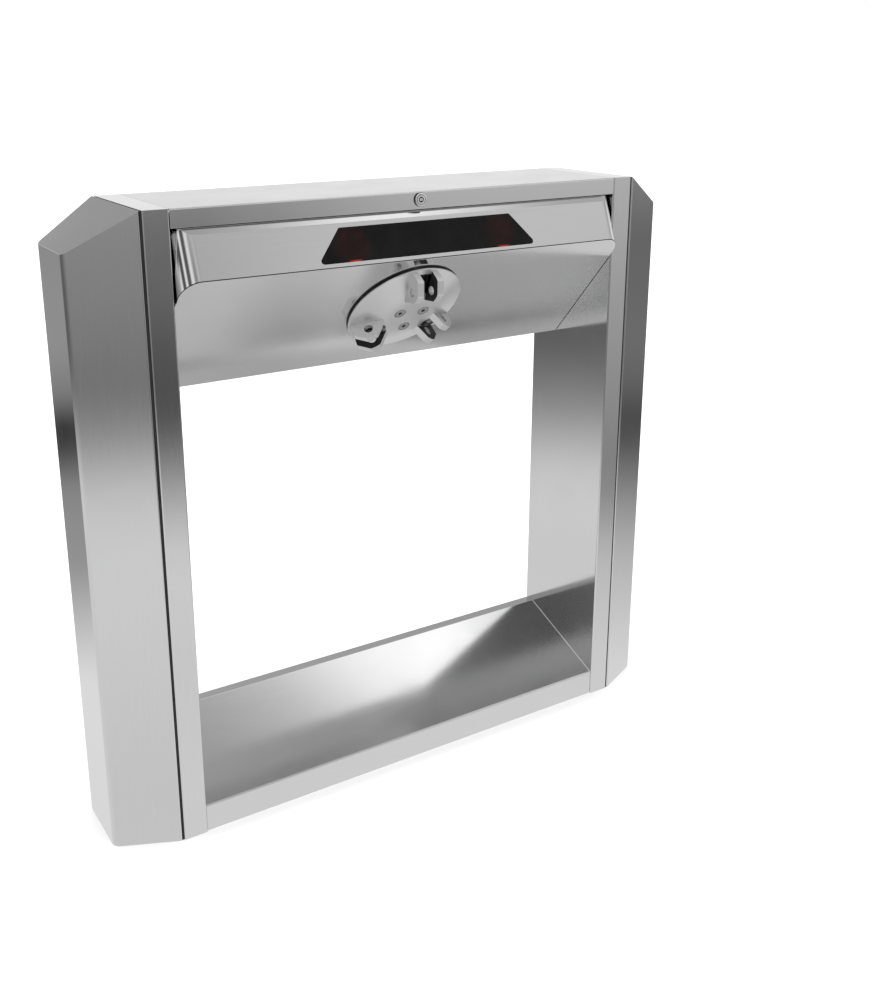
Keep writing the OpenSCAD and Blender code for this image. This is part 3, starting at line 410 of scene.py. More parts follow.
def plated(name, tone, rough, tint=(1.0, 1.0, 1.0)):
    """Turned or plated metal with a fine grain and patchy sheen."""
    m, tree, bsdf, place = blank(name)
    g = placed(tree, GRAIN, Vector=place, Scale=400.0).outputs[0]
    patches = placed(tree, SMUDGES, Vector=place, Scale=30.0).outputs[0]
    low = tuple(tone * 0.86 * c for c in tint)
    high = tuple(tone * c for c in tint)
    tree.links.new(toned(tree, patches, low, high), bsdf.inputs["Base Color"])
    tree.links.new(ranged(tree, patches, rough * 0.8, rough * 1.25), bsdf.inputs["Roughness"])
    bsdf.inputs["Metallic"].default_value = 1.0
    bumped(tree, bsdf, g, 0.06, 0.00005)
    return m


def centre_of(name):
    """Middle of a node's box."""
    co = np.array([v.co for v in nodes[name].data.vertices])
    return (co.min(0) + co.max(0)) / 2


def ringed(name, centre, rings, tone, rough):
    """Plated metal with dark joints around an axis that points to the front. Each ring has its radius, in
    millimetres, and its share of the tone."""
    m, tree, bsdf, place = blank(name)
    offset = vectors(tree, "SUBTRACT", place, tuple(centre))
    away = vectors(tree, "LENGTH", vectors(tree, "MULTIPLY", offset, (1, 0, 1)))
    widest = rings[-1][0]
    mask = ramp(tree, faded(tree, away, 0.0, widest * MM), [(r / widest, v) for r, v in rings])
    tree.links.new(toned(tree, mask, (0.01, 0.01, 0.01), (tone, tone, tone)), bsdf.inputs["Base Color"])
    tree.links.new(ranged(tree, mask, 0.5, rough), bsdf.inputs["Roughness"])
    bsdf.inputs["Metallic"].default_value = 1.0
    return m


def satin(name, tone, rough):
    """Bead-blasted light metal under a clear satin coat: even, with a very fine grain."""
    m, tree, bsdf, place = blank(name)
    g = placed(tree, GRAIN, Vector=place, Scale=1500.0).outputs[0]
    tree.links.new(toned(tree, g, (tone * 0.97,) * 3, (tone,) * 3), bsdf.inputs["Base Color"])
    tree.links.new(ranged(tree, g, rough - 0.02, rough + 0.04), bsdf.inputs["Roughness"])
    bsdf.inputs["Metallic"].default_value = 0.8
    return m


def coated(name, dark, light, rough):
    """Paint, rubber or moulded plastic: pebbled grain, patchy sheen and slight changes of tone."""
    m, tree, bsdf, place = blank(name)
    g = placed(tree, GRAIN, Vector=place, Scale=700.0).outputs[0]
    patches = placed(tree, SMUDGES, Vector=place, Scale=18.0).outputs[0]
    tree.links.new(toned(tree, patches, dark, light), bsdf.inputs["Base Color"])
    tree.links.new(ranged(tree, patches, rough - 0.06, rough + 0.08), bsdf.inputs["Roughness"])
    bumped(tree, bsdf, g, 0.3, 0.0002)
    return m


def wound(name):
    """Copper wire wound in close turns under varnish, along the solenoid's length."""
    m, tree, bsdf, place = blank(name)
    w = node(tree, "ShaderNodeTexWave", {"Vector": place, "Scale": 420.0, "Distortion": 0.3},
             wave_type="BANDS", bands_direction="X")
    tree.links.new(toned(tree, w.outputs["Fac"], (0.16, 0.045, 0.015), (0.62, 0.26, 0.10)),
                   bsdf.inputs["Base Color"])
    bsdf.inputs["Metallic"].default_value = 0.8
    bsdf.inputs["Roughness"].default_value = 0.35
    bumped(tree, bsdf, w.outputs["Fac"], 0.5, 0.0004)
    return m


def board(name):
    """Circuit board: green lacquer over fine copper tracks, seen as lighter cells."""
    m, tree, bsdf, place = blank(name)
    v = node(tree, "ShaderNodeTexVoronoi", {"Vector": place, "Scale": 160.0}, distance="MANHATTAN",
             feature="DISTANCE_TO_EDGE")
    mask = maths(tree, "LESS_THAN", v.outputs["Distance"], 0.08)
    tree.links.new(toned(tree, mask, (0.006, 0.07, 0.025), (0.03, 0.20, 0.08)), bsdf.inputs["Base Color"])
    bsdf.inputs["Roughness"].default_value = 0.35
    bumped(tree, bsdf, mask, 0.2, 0.0002)
    return m


def lens(name):
    """Red moulded lens that glows from inside, with rings moulded into it."""
    m, tree, bsdf, place = blank(name)
    w = node(tree, "ShaderNodeTexVoronoi", {"Vector": place, "Scale": 260.0})
    tree.links.new(toned(tree, w.outputs["Distance"], (0.5, 0.01, 0.01), (0.9, 0.05, 0.03)),
                   bsdf.inputs["Base Color"])
    bsdf.inputs["Roughness"].default_value = 0.25
    bsdf.inputs["Emission Color"].default_value = (1.0, 0.04, 0.02, 1)
    bsdf.inputs["Emission Strength"].default_value = 1.5
    bumped(tree, bsdf, w.outputs["Distance"], 0.4, 0.0005)
    return m


def tinted(name):
    """Near-black glossy pane: each red light shows through it as a dim glow that fades with distance, and
    as a short bright line at the pane's lower edge."""
    m, tree, bsdf, place = blank(name)
    x, _, z = node(tree, "ShaderNodeSeparateXYZ", {0: place}).outputs
    low = (UPPER[1] - (WINDOW["top"] + WINDOW["height"]) * FACE_UP[2]) * MM
    edge = faded(tree, z, low + 0.6 * MM, low + 3.0 * MM, 1.0, 0.0)
    total = 0.0
    for light_x in LIGHTS:
        spot = on_face(np.array([light_x]), np.array([-LIGHT_DROP]), np.array([0.0]))[0] * MM
        away = vectors(tree, "DISTANCE", place, tuple(spot))
        glow = faded(tree, away, 16.0 * MM, 40.0 * MM, 0.022, 0.0, "SMOOTHSTEP")
        aside = maths(tree, "ABSOLUTE", maths(tree, "SUBTRACT", x, light_x * MM))
        near = faded(tree, aside, 4.0 * MM, 14.0 * MM, 1.0, 0.0, "SMOOTHSTEP")
        total = maths(tree, "ADD", total, maths(tree, "ADD", glow, maths(tree, "MULTIPLY", edge, near)))
    streak = placed(tree, SMUDGES, Vector=place, Scale=26.0).outputs[0]
    mask = maths(tree, "MULTIPLY", total, ranged(tree, streak, 0.5, 1.0))
    tree.links.new(toned(tree, mask, (0.0, 0.0, 0.0), (0.7, 0.035, 0.02)), bsdf.inputs["Emission Color"])
    bsdf.inputs["Emission Strength"].default_value = 1.0
    tree.links.new(toned(tree, streak, (0.002,) * 3, (0.004,) * 3), bsdf.inputs["Base Color"])
    bsdf.inputs["Roughness"].default_value = 0.08
    bsdf.inputs["Specular IOR Level"].default_value = 0.16
    return m


STEEL_UP = brushed("steel_brushed_upright", (1800.0, 1800.0, 22.0))
STEEL_ALONG = brushed("steel_brushed_lengthwise", (22.0, 1800.0, 1800.0))
STEEL_TOP = brushed("steel_brushed_lid", (22.0, 1800.0, 1800.0), tone=0.78, rough=0.16)
STEEL_COVER = brushed("steel_brushed_cover", (1800.0, 1800.0, 22.0), tone=0.72, rough=0.10)
HUB_METAL = satin("satin_casting", 0.62, 0.30)
POLISHED = plated("polished_steel", 0.72, 0.16)
# Near-black steel for the rotor shaft: its dark tone is painted shade, for a shaft deep inside the housing
SHAFT_DARK_AS_SHADE = plated("shaft_steel_painted_shade", 0.05, 0.35)
ZINC = plated("zinc_plate", 0.55, 0.35, (1.0, 0.98, 0.93))
LOCK_RINGS = ((0, 0.9), (2.6, 1.0), (3.0, 0.05), (4.4, 0.05), (4.8, 1.0), (7.0, 1.0), (7.4, 0.25),
              (8.0, 0.25), (8.4, 1.0), (10.2, 1.0), (10.6, 0.1), (15, 0.1))
CHROME = ringed("chrome_lock", centre_of("lock_plug"), LOCK_RINGS, 0.95, 0.08)
CASTING = coated("painted_casting", (0.055, 0.06, 0.065), (0.085, 0.09, 0.095), 0.5)
# Black rubber of the gaskets and seals; the same black also stands on faces as painted shade: the nose's rim
# over the land, the hub's countersinks and screw sockets, and the facing sides of the forks
BLACK_RUBBER_AND_SHADE = coated("black_rubber", (0.006, 0.006, 0.006), (0.014, 0.014, 0.014), 0.6)
PLASTIC = coated("black_plastic", (0.012, 0.012, 0.013), (0.022, 0.022, 0.024), 0.4)
GREY = coated("grey_plastic", (0.42, 0.43, 0.44), (0.50, 0.51, 0.52), 0.45)
CASE = plated("supply_case", 0.60, 0.32)
COPPER = wound("coil_copper")
BOARD = board("board_green")
RED = lens("red_lens")
PANE = tinted("dark_window")

# Posts and end covers

post_plan = softened([(WEB_X, FRONT), (POST_X, FRONT), (POST_X, REAR), (WEB_X, REAR)],
                     [CORNER_R] * 4, closed=True)
verts, faces = pot(post_plan, lambda x: TOP + 0 * x, edge=POST_EDGE)
piece("right_post_shell", verts, faces, node="right_post", material=STEEL_UP)
piece("left_post_shell", mirrored(verts), faces, node="left_post", material=STEEL_UP)

cover_plan = softened([(COVER_X, FRONT), (END_X, FRONT + CHAMFER), (END_X, REAR - CHAMFER), (COVER_X, REAR)],
                      [CORNER_R, COVER_BEND, COVER_BEND, CORNER_R], closed=True, steps=12)
verts, faces = pot(cover_plan, lambda x: TOP - FALL * (x - COVER_X) / (END_X - COVER_X), edge=COVER_EDGE)
piece("right_cover_shell", verts, faces, node="right_end_cover", material=STEEL_COVER)
piece("left_cover_shell", mirrored(verts), faces, node="left_end_cover", material=STEEL_COVER)

# Base beam, lid and rear panel

beam_line = softened([(FRONT + SET_BACK, 0), (FRONT + SET_BACK, LIP_Z), (PLATE_Y, PLATE_Z), (REAR, PLATE_Z),
                      (REAR, 0)], [0, BEAM_BEND, BEAM_BEND, BEAM_BEND, 0])
verts, faces = strip(beam_line, WEB_X - BASE_JOINT, -SHEET)
piece("base_beam_sheet", verts, faces, node="base_beam", material=STEEL_ALONG, bevel=0.3)

lid_line = softened([(FRONT, TOP - LID_FLANGE), (FRONT, TOP), (REAR, TOP), (REAR, TOP - LID_FLANGE)],
                    [0, LID_BEND, LID_BEND, 0])
verts, faces = strip(lid_line, WEB_X - LID_PLAY, -SHEET)
piece("lid_sheet", verts, faces, body="lid_assembly", node="lid", material=STEEL_TOP, bevel=0.3)

# Nose: rim, land, face and rounded ends


def depth_to_half(depth):
    """Half width of the nose at a depth behind its face: the end is a quarter circle, then straight."""
    d = np.clip(depth, 0, NOSE_R)
    return NOSE_X - NOSE_R + np.sqrt(np.maximum(NOSE_R ** 2 - (NOSE_R - d) ** 2, 0))


def nose_shell():
    """The end's plan runs back along a cheek, round a quarter circle, across and back again. Every point
    of it falls along the face's slope, from the higher plane that cuts it (the land, or the facet between
    the land and the upper crease) down to the slanted panel."""
    a = np.linspace(0, math.pi / 2, 19)
    arc = np.column_stack([NOSE_X - NOSE_R + NOSE_R * np.sin(a), NOSE_R - NOSE_R * np.cos(a)])
    back = np.array([[NOSE_X, NOSE_R + d] for d in (4.0, 8.0, 12.0, CHEEK_L)])
    right = np.vstack([arc, back])
    plan = np.vstack([right[::-1] * [-1, 1], right])
    x, depth = plan[:, 0], plan[:, 1]
    start = on_face(x, np.zeros(len(x)), -depth)
    rise = FACE_UP
    to_land = (LAND_Z - start[:, 2]) / rise[2]
    facet = np.array([0, *(np.array([FRONT + SET_BACK, LAND_Z]) - UPPER)])
    facet_out = np.array([0, -facet[2], facet[1]])
    to_facet = ((np.array([0, *UPPER]) - start) @ facet_out) / (rise @ facet_out)
    to_panel = ((np.array([0, *LOWER]) - start) @ AXIS_OUT) / (rise @ AXIS_OUT)
    high = start + np.outer(np.minimum(to_land, to_facet), rise)
    seam = start + np.outer(to_panel + SEAM_GAP, rise)
    low = start + np.outer(to_panel + SEAM, rise)
    return x, high, low, seam


x, high, low, seam = nose_shell()
n = len(x)
rim = high.copy()
rim[:, 1] = np.maximum(high[:, 1], FRONT + SET_BACK)
rim[:, 2] = LAND_Z
lip = rim + [0, 0, RIM_TALL]
rows = np.vstack([lip, rim, high, low, seam])
# The quad across the middle of the face is left out: the face with the window's opening takes its place
faces = [f for f in grid(5, n).tolist() if f[0] != 2 * n + n // 2 - 1]

hole = softened([(WINDOW["shift"] - WINDOW["low_half"], -WINDOW["top"] - WINDOW["height"]),
                 (WINDOW["shift"] + WINDOW["low_half"], -WINDOW["top"] - WINDOW["height"]),
                 (WINDOW["shift"] + WINDOW["top_half"], -WINDOW["top"]),
                 (WINDOW["shift"] - WINDOW["top_half"], -WINDOW["top"])], [WINDOW["r"]] * 4, closed=True)


def face_around(hole, left, right, tall):
    """The flat face as four fans between its corners and the corners of the window's opening: every
    opening point is joined to the face's corner of its own quarter, and the four gaps are filled."""
    m = len(hole)
    quarter = m // 4
    corners = np.array([[left, -tall], [right, -tall], [right, 0.0], [left, 0.0]])
    pts = np.vstack([corners, hole])
    out = []
    for q in range(4):
        i = q * quarter + np.arange(quarter - 1)
        out += np.column_stack([np.full(quarter - 1, q), i + 5, i + 4]).tolist()
        last = q * quarter + quarter - 1
        out.append([q, (q + 1) % 4, (last + 1) % m + 4, last + 4])
    return on_face(pts[:, 0], pts[:, 1], np.zeros(len(pts))), out


face_pts, face_faces = face_around(hole, -(NOSE_X - NOSE_R), NOSE_X - NOSE_R, FACE_L - SEAM)
shift = len(rows)
rim_in = on_face(hole[:, 0], hole[:, 1], np.full(len(hole), -SHEET))
m = len(hole)
j = np.arange(m)
sides = np.column_stack([shift + 4 + j, shift + 4 + (j + 1) % m, shift + 4 + m + (j + 1) % m,
                         shift + 4 + m + j]).tolist()
verts = np.vstack([rows, face_pts, rim_in])
faces = [f[::-1] for f in faces] + [[k + shift for k in f] for f in face_faces] + sides


def open_piece(name, verts, faces, material, node, outward, thickness, crease=15):
    """An open sheet: its doubles are merged, it is turned so that its largest face looks outwards, and it
    gets its thickness. Its rim over the land is painted black as shade, and the joint line over the panel is
    black."""
    mesh = bpy.data.meshes.new(name)
    mesh.from_pydata((np.asarray(verts) * MM).tolist(), [], faces)
    bm = bmesh.new()
    bm.from_mesh(mesh)
    bmesh.ops.remove_doubles(bm, verts=bm.verts, dist=MERGE)
    bmesh.ops.dissolve_degenerate(bm, dist=1e-6, edges=bm.edges)
    bmesh.ops.recalc_face_normals(bm, faces=bm.faces)
    bm.faces.ensure_lookup_table()
    big = max(bm.faces, key=lambda f: f.calc_area())
    if big.normal.dot(outward) < 0:
        bmesh.ops.reverse_faces(bm, faces=bm.faces)
    bm.to_mesh(mesh)
    bm.free()
    obj = bpy.data.objects.new(name, mesh)
    bpy.context.scene.collection.objects.link(obj)
    mesh.polygons.foreach_set("use_smooth", np.ones(len(mesh.polygons), bool))
    mesh.set_sharp_from_angle(angle=math.radians(crease))
    s = obj.modifiers.new("sheet", "SOLIDIFY")
    s.thickness = thickness * MM
    s.offset = -1
    b = obj.modifiers.new("eased", "BEVEL")
    b.width = 0.4 * MM
    b.segments = 3
    b.limit_method = "ANGLE"
    b.angle_limit = math.radians(crease)
    obj.modifiers.new("flat", "WEIGHTED_NORMAL")
    mesh.materials.append(material)
    mesh.materials.append(BLACK_RUBBER_AND_SHADE)
    # The rim over the land gets the black as painted shade; the joint line over the panel gets it as a dark
    # joint
    for f in mesh.polygons:
        near = abs((np.array(f.center) / MM - [0, *LOWER]) @ AXIS_OUT) < 0.6 * SEAM
        f.material_index = int(near or f.center[2] > (LAND_Z + 0.2) * MM)
    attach(obj, "frame")
    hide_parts(node)
    return obj


open_piece("nose_sheet", verts, faces, STEEL_ALONG, "nose_panel", tuple(FACE_OUT), thickness=1.0)

# Slanted panel: it takes the nose's plan at its top, then meets the posts

# Distances down the panel, close together where its sides follow the nose's rounded ends
down = np.array([0.0, 0.3, 1.0, 2.0, 3.5, 5.5, 8.0, 11.0, 14.5, 18.5, 23.0, 28.0, 33.8, CORNER_L - 0.1,
                 CORNER_L, 120.0, PANEL_L])
line = LOWER + np.outer(down, [math.cos(SLOPE), -math.sin(SLOPE)])
depth = -((np.column_stack([np.zeros(len(line)), line]) - np.array([0, *UPPER])) @ FACE_OUT)
half = np.where(down > CORNER_L - 0.05, WEB_X - PANEL_JOINT, depth_to_half(depth))
line = np.vstack([line, [[REAR - SHEET, FOOT[1]], [REAR - SHEET, FOOT[1] + PANEL_FLANGE]]])
half = np.append(half, [WEB_X - PANEL_JOINT] * 2)
verts, faces = strip(line, half, SHEET)
piece("slanted_panel", verts, faces, node="lower_panel", material=STEEL_ALONG, bevel=0.4, sharp=25)

# Window

verts, faces = prism(beside(hole, PANE_IN, closed=True), on_face, PANE_BACK, PANE_FRONT)
piece("window_pane", verts, faces, node="window", material=PANE, bevel=0.4)

verts, faces = prism(beside(hole, SEAL_IN, closed=True), on_face, SEAL_BACK, SEAL_FRONT)
piece("window_seal", verts, faces, node="window_gasket", material=BLACK_RUBBER_AND_SHADE)

# Hub: a lathe-turned dish with three slots, and six ears

profile = softened([(0, HUB_TOP), (PLATEAU_R, HUB_TOP), (HUB_R - 2.0, HUB_GAP + 2.9), (HUB_R, HUB_GAP + 2.4),
                    (HUB_R, HUB_GAP), (HUB_R - 12, HUB_GAP), (PLATEAU_R - 3, HUB_TOP - 6), (0, HUB_TOP - 6)],
                   [0, 100, 3, 0.6, 0.6, 0, 6, 0], steps=12)


def dish(profile, around=144):
    """Solid of revolution: each profile point (r, z) goes round the axis."""
    a = np.linspace(0, 2 * math.pi, around, endpoint=False)
    r, z = profile[1:-1, 0], profile[1:-1, 1]
    x, s = np.outer(r, np.cos(a)).ravel(), np.outer(r, np.sin(a)).ravel()
    ring = on_axis(x, s, np.repeat(z, around))
    ends = on_axis(np.zeros(2), np.zeros(2), profile[[0, -1], 1])
    k = len(r)
    j = np.arange(around)
    f = grid(k, around, wrap=True).tolist()
    f += np.column_stack([j, np.full(around, k * around), (j + 1) % around]).tolist()
    last = (k - 1) * around
    f += np.column_stack([last + j, last + (j + 1) % around, np.full(around, k * around + 1)]).tolist()
    return np.vstack([ring, ends]), f


def cut(obj, cutters):
    """The cutters' volumes are taken out of the piece, and the cutters removed."""
    for verts, faces in cutters:
        mesh = bpy.data.meshes.new("cutter")
        mesh.from_pydata((verts * MM).tolist(), [], faces)
        tool = bpy.data.objects.new("cutter", mesh)
        bpy.context.scene.collection.objects.link(tool)
        finish_mesh(tool)
        tool.modifiers.clear()
        b = obj.modifiers.new("cut", "BOOLEAN")
        b.object = tool
        b.operation = "DIFFERENCE"
        b.solver = "EXACT"
        bpy.context.view_layer.update()
        done = bpy.data.meshes.new_from_object(obj.evaluated_get(bpy.context.evaluated_depsgraph_get()))
        obj.modifiers.remove(b)
        obj.data = done
        bpy.data.objects.remove(tool)


verts, faces = dish(profile)
mesh = bpy.data.meshes.new("hub_dish")
mesh.from_pydata((verts * MM).tolist(), [], faces)
mesh.materials.append(HUB_METAL)
hub_dish = bpy.data.objects.new("hub_dish", mesh)
bpy.context.scene.collection.objects.link(hub_dish)
finish_mesh(hub_dish)
hub_dish.modifiers.clear()
slot_plan = softened([(SLOT_IN, -SLOT_HALF), (SLOT_OUT, -SLOT_HALF), (SLOT_OUT, SLOT_HALF),
                      (SLOT_IN, SLOT_HALF)], [SLOT_HALF - 0.1, 1, 1, SLOT_HALF - 0.1], closed=True)
cutters = []
for a in FORKS:
    u, v = turned(slot_plan[:, 0], slot_plan[:, 1], a)
    cutters.append(prism(np.column_stack([u, v]), on_axis, HUB_GAP - 3, HUB_TOP + 3))
for a in SCREWS:
    t = np.linspace(0, 2 * math.pi, 48, endpoint=False)
    u, v = turned(SCREW_AT + SCREW_HOLE * np.cos(t), SCREW_HOLE * np.sin(t), a)
    cutters.append(prism(np.column_stack([u, v]), on_axis, HUB_TOP - SCREW_SUNK, HUB_TOP + 3))
cut(hub_dish, cutters)
finish_mesh(hub_dish, sharp=30)


def shade_round_screws(obj, above, across):
    """Faces above a height over the panel, but under the hub's top, within a distance of a screw are
    black: painted shade in the countersinks and the screw sockets."""
    obj.data.materials.append(BLACK_RUBBER_AND_SHADE)
    spots = [on_axis(*(np.array([v]) for v in (*turned(SCREW_AT, 0.0, a), 0.0)))[0] for a in SCREWS]
    for f in obj.data.polygons:
        c = np.array(f.center) / MM
        level = (c - HUB) @ AXIS_OUT
        flat = min(np.linalg.norm(c - p - level * AXIS_OUT) for p in spots)
        if above < level < HUB_TOP - 0.1 and flat < across:
            f.material_index = 1


# The hub's countersinks round the screws are painted black as shade
shade_round_screws(hub_dish, HUB_TOP - SCREW_SUNK - 0.5, SCREW_HOLE + 0.2)
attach(hub_dish, "rotor")
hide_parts("hub")

EAR = softened([(40, 0.4), (93.5, 0.4), (93.5, 3.5), (95.5, 23), (77, 39), (69, 39.5), (60, 38), (40, 18)],
               [0, 0, 0, 5, 5, 5, 4, 0], closed=True) + [0, HUB_GAP]
EAR = np.vstack([np.linspace(EAR[i], EAR[(i + 1) % len(EAR)], 4, endpoint=False) for i in range(len(EAR))])


def ear_pair(angle):
    """Two like ears, one on each side of a fork."""
    out = []
    for side in (1, -1):
        def place(x, up, off):
            """Points along the fork, up from the panel and aside of the fork's middle."""
            u, v = turned(x, side * off, angle)
            return on_axis(u, v, up)
        hole = (np.array(EAR_HOLE) + [0, HUB_GAP], EAR_HOLE_R)
        out.append(prism(EAR, place, EAR_IN, EAR_OUT, hole=hole))
    return out


all_v, all_f = [], []
for a in FORKS:
    for v, f in ear_pair(a):
        start = sum(len(q) for q in all_v)
        all_v.append(v)
        all_f += [[k + start for k in q] for q in f]
ears = piece("hub_ears", np.vstack(all_v), all_f, body="rotor", node="fork_ears", material=HUB_METAL,
             bevel=1.0, sharp=40)
ears.data.materials.append(BLACK_RUBBER_AND_SHADE)
# The sides that face each other in a fork are painted black as shade between the ears
for f in ears.data.polygons:
    c = np.array(f.center) / MM - HUB
    along, off = turned(c[0], c @ AXIS_UP, 0)
    for a in FORKS:
        u, v = turned(along, off, -a)
        if u > 30 and abs(v) < EAR_IN + 0.3:
            f.material_index = 1


# Nodes that keep their shape

def dressed(name, material, bevel=0.3, body=None):
    """A copy of a node's mesh, merged and eased at its edges, that stands for the node."""
    source = nodes[name]
    obj = bpy.data.objects.new(name + "_part", source.data.copy())
    bpy.context.scene.collection.objects.link(obj)
    obj.data.materials.clear()
    finish_mesh(obj, bevel, sharp=35)
    obj.data.materials.append(material)
    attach(obj, body or BODY_OF[name])
    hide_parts(name)
    return obj


BODY_OF = {n: b for b, names in frame["record"]["behaviour"]["bodies"].items() for n in names}

# Names of nodes, their material, its slot and the width of the eased edges
for name, material, slot, bevel in (
        ("lock_barrel", CHROME, "chrome_lock", 1.2), ("lock_plug", CHROME, "chrome_lock", 0.25),
        # The rotor shaft's near-black steel is painted shade
        ("hub_screws", POLISHED, "polished_steel", 0.6), ("rotor_shaft", SHAFT_DARK_AS_SHADE, "polished_steel", 0.6),
        ("rear_panel", STEEL_ALONG, "brushed_steel", 0.0), ("rear_screws", ZINC, "zinc_steel", 0.3),
        ("hinge_leaves_fixed", STEEL_ALONG, "brushed_steel", 0.3),
        ("hinge_leaves_lid", STEEL_ALONG, "brushed_steel", 0.3),
        ("left_cover_gasket", BLACK_RUBBER_AND_SHADE, "black_rubber", 0.4),
        ("right_cover_gasket", BLACK_RUBBER_AND_SHADE, "black_rubber", 0.4)):
    done = dressed(name, material, bevel)
    # The hub screws' sockets are painted black as shade
    if name == "hub_screws":
        shade_round_screws(done, HUB_TOP - 12, 5.0)

# Nodes that are shown as they are, each with its material
KEPT = {
    ZINC: ("left_foot_plate right_foot_plate mechanism_plate back_plate damper_bracket lock_clip lock_cam "
           "lock_keeper plate_studs housing_bolts cover_studs shaft_nut left_pawl right_pawl locking_disc"),
    POLISHED: ("cam_screw bearing_outer_rings bearing_inner_rings bearing_balls bearing_spacer "
               "shaft_key pillars pawl_pins left_plunger right_plunger light_pillars"),
    CASTING: "bearing_housing damper",
    BLACK_RUBBER_AND_SHADE: "shaft_seal",
    PLASTIC: "encoder_disc optical_sensor",
    BOARD: "light_board control_unit",
    COPPER: "solenoids",
    RED: "left_light right_light",
    CASE: "power_supply",
    GREY: "wiring_trunk",
}
for material, names in KEPT.items():
    for name in names.split():
        data = nodes[name].data
        if data.materials:
            for k in range(len(data.materials)):
                data.materials[k] = material
        else:
            data.materials.append(material)

# Floor, light and camera

floor_mesh = bpy.data.meshes.new("floor")
floor_mesh.from_pydata([(-9, -9, 0), (9, -9, 0), (9, 9, 0), (-9, 9, 0)], [], [(0, 1, 2, 3)])
floor = bpy.data.objects.new("floor", floor_mesh)
bpy.context.scene.collection.objects.link(floor)
floor_mat, tree, bsdf, place = blank("pale_floor")
tree.links.new(toned(tree, placed(tree, SMUDGES, Vector=place, Scale=1.2).outputs[0], (0.88, 0.88, 0.88),
                    (0.9, 0.9, 0.9)), bsdf.inputs["Base Color"])
bsdf.inputs["Roughness"].default_value = 0.9
bsdf.inputs["Specular IOR Level"].default_value = 0.0
floor_mesh.materials.append(floor_mat)
floor.visible_glossy = False


def softbox(name, at, target, size, power):
    """A square area lamp that looks at a point and isn't mirrored."""
    lamp = bpy.data.lights.new(name, "AREA")
    lamp.shape = "SQUARE"
    lamp.size = size
    lamp.energy = power
    obj = bpy.data.objects.new(name, lamp)
    bpy.context.scene.collection.objects.link(obj)
    obj.location = at
    d = np.array(target, float) - np.array(at, float)
    obj.rotation_euler = (math.acos(-d[2] / np.linalg.norm(d)), 0, math.atan2(d[1], d[0]) - math.pi / 2)
    obj.visible_glossy = False


softbox("lamp_front", (-2.6, -3.2, 2.2), (0, 0, 0.6), 2.6, 50)
sky = bpy.data.lights.new("lamp_above", "SUN")
sky.energy = 3.4
sky.angle = math.radians(120)
sky_lamp = bpy.data.objects.new("lamp_above", sky)
bpy.context.scene.collection.objects.link(sky_lamp)
sky_lamp.location = (0, 0, 3)
sky_lamp.visible_glossy = False


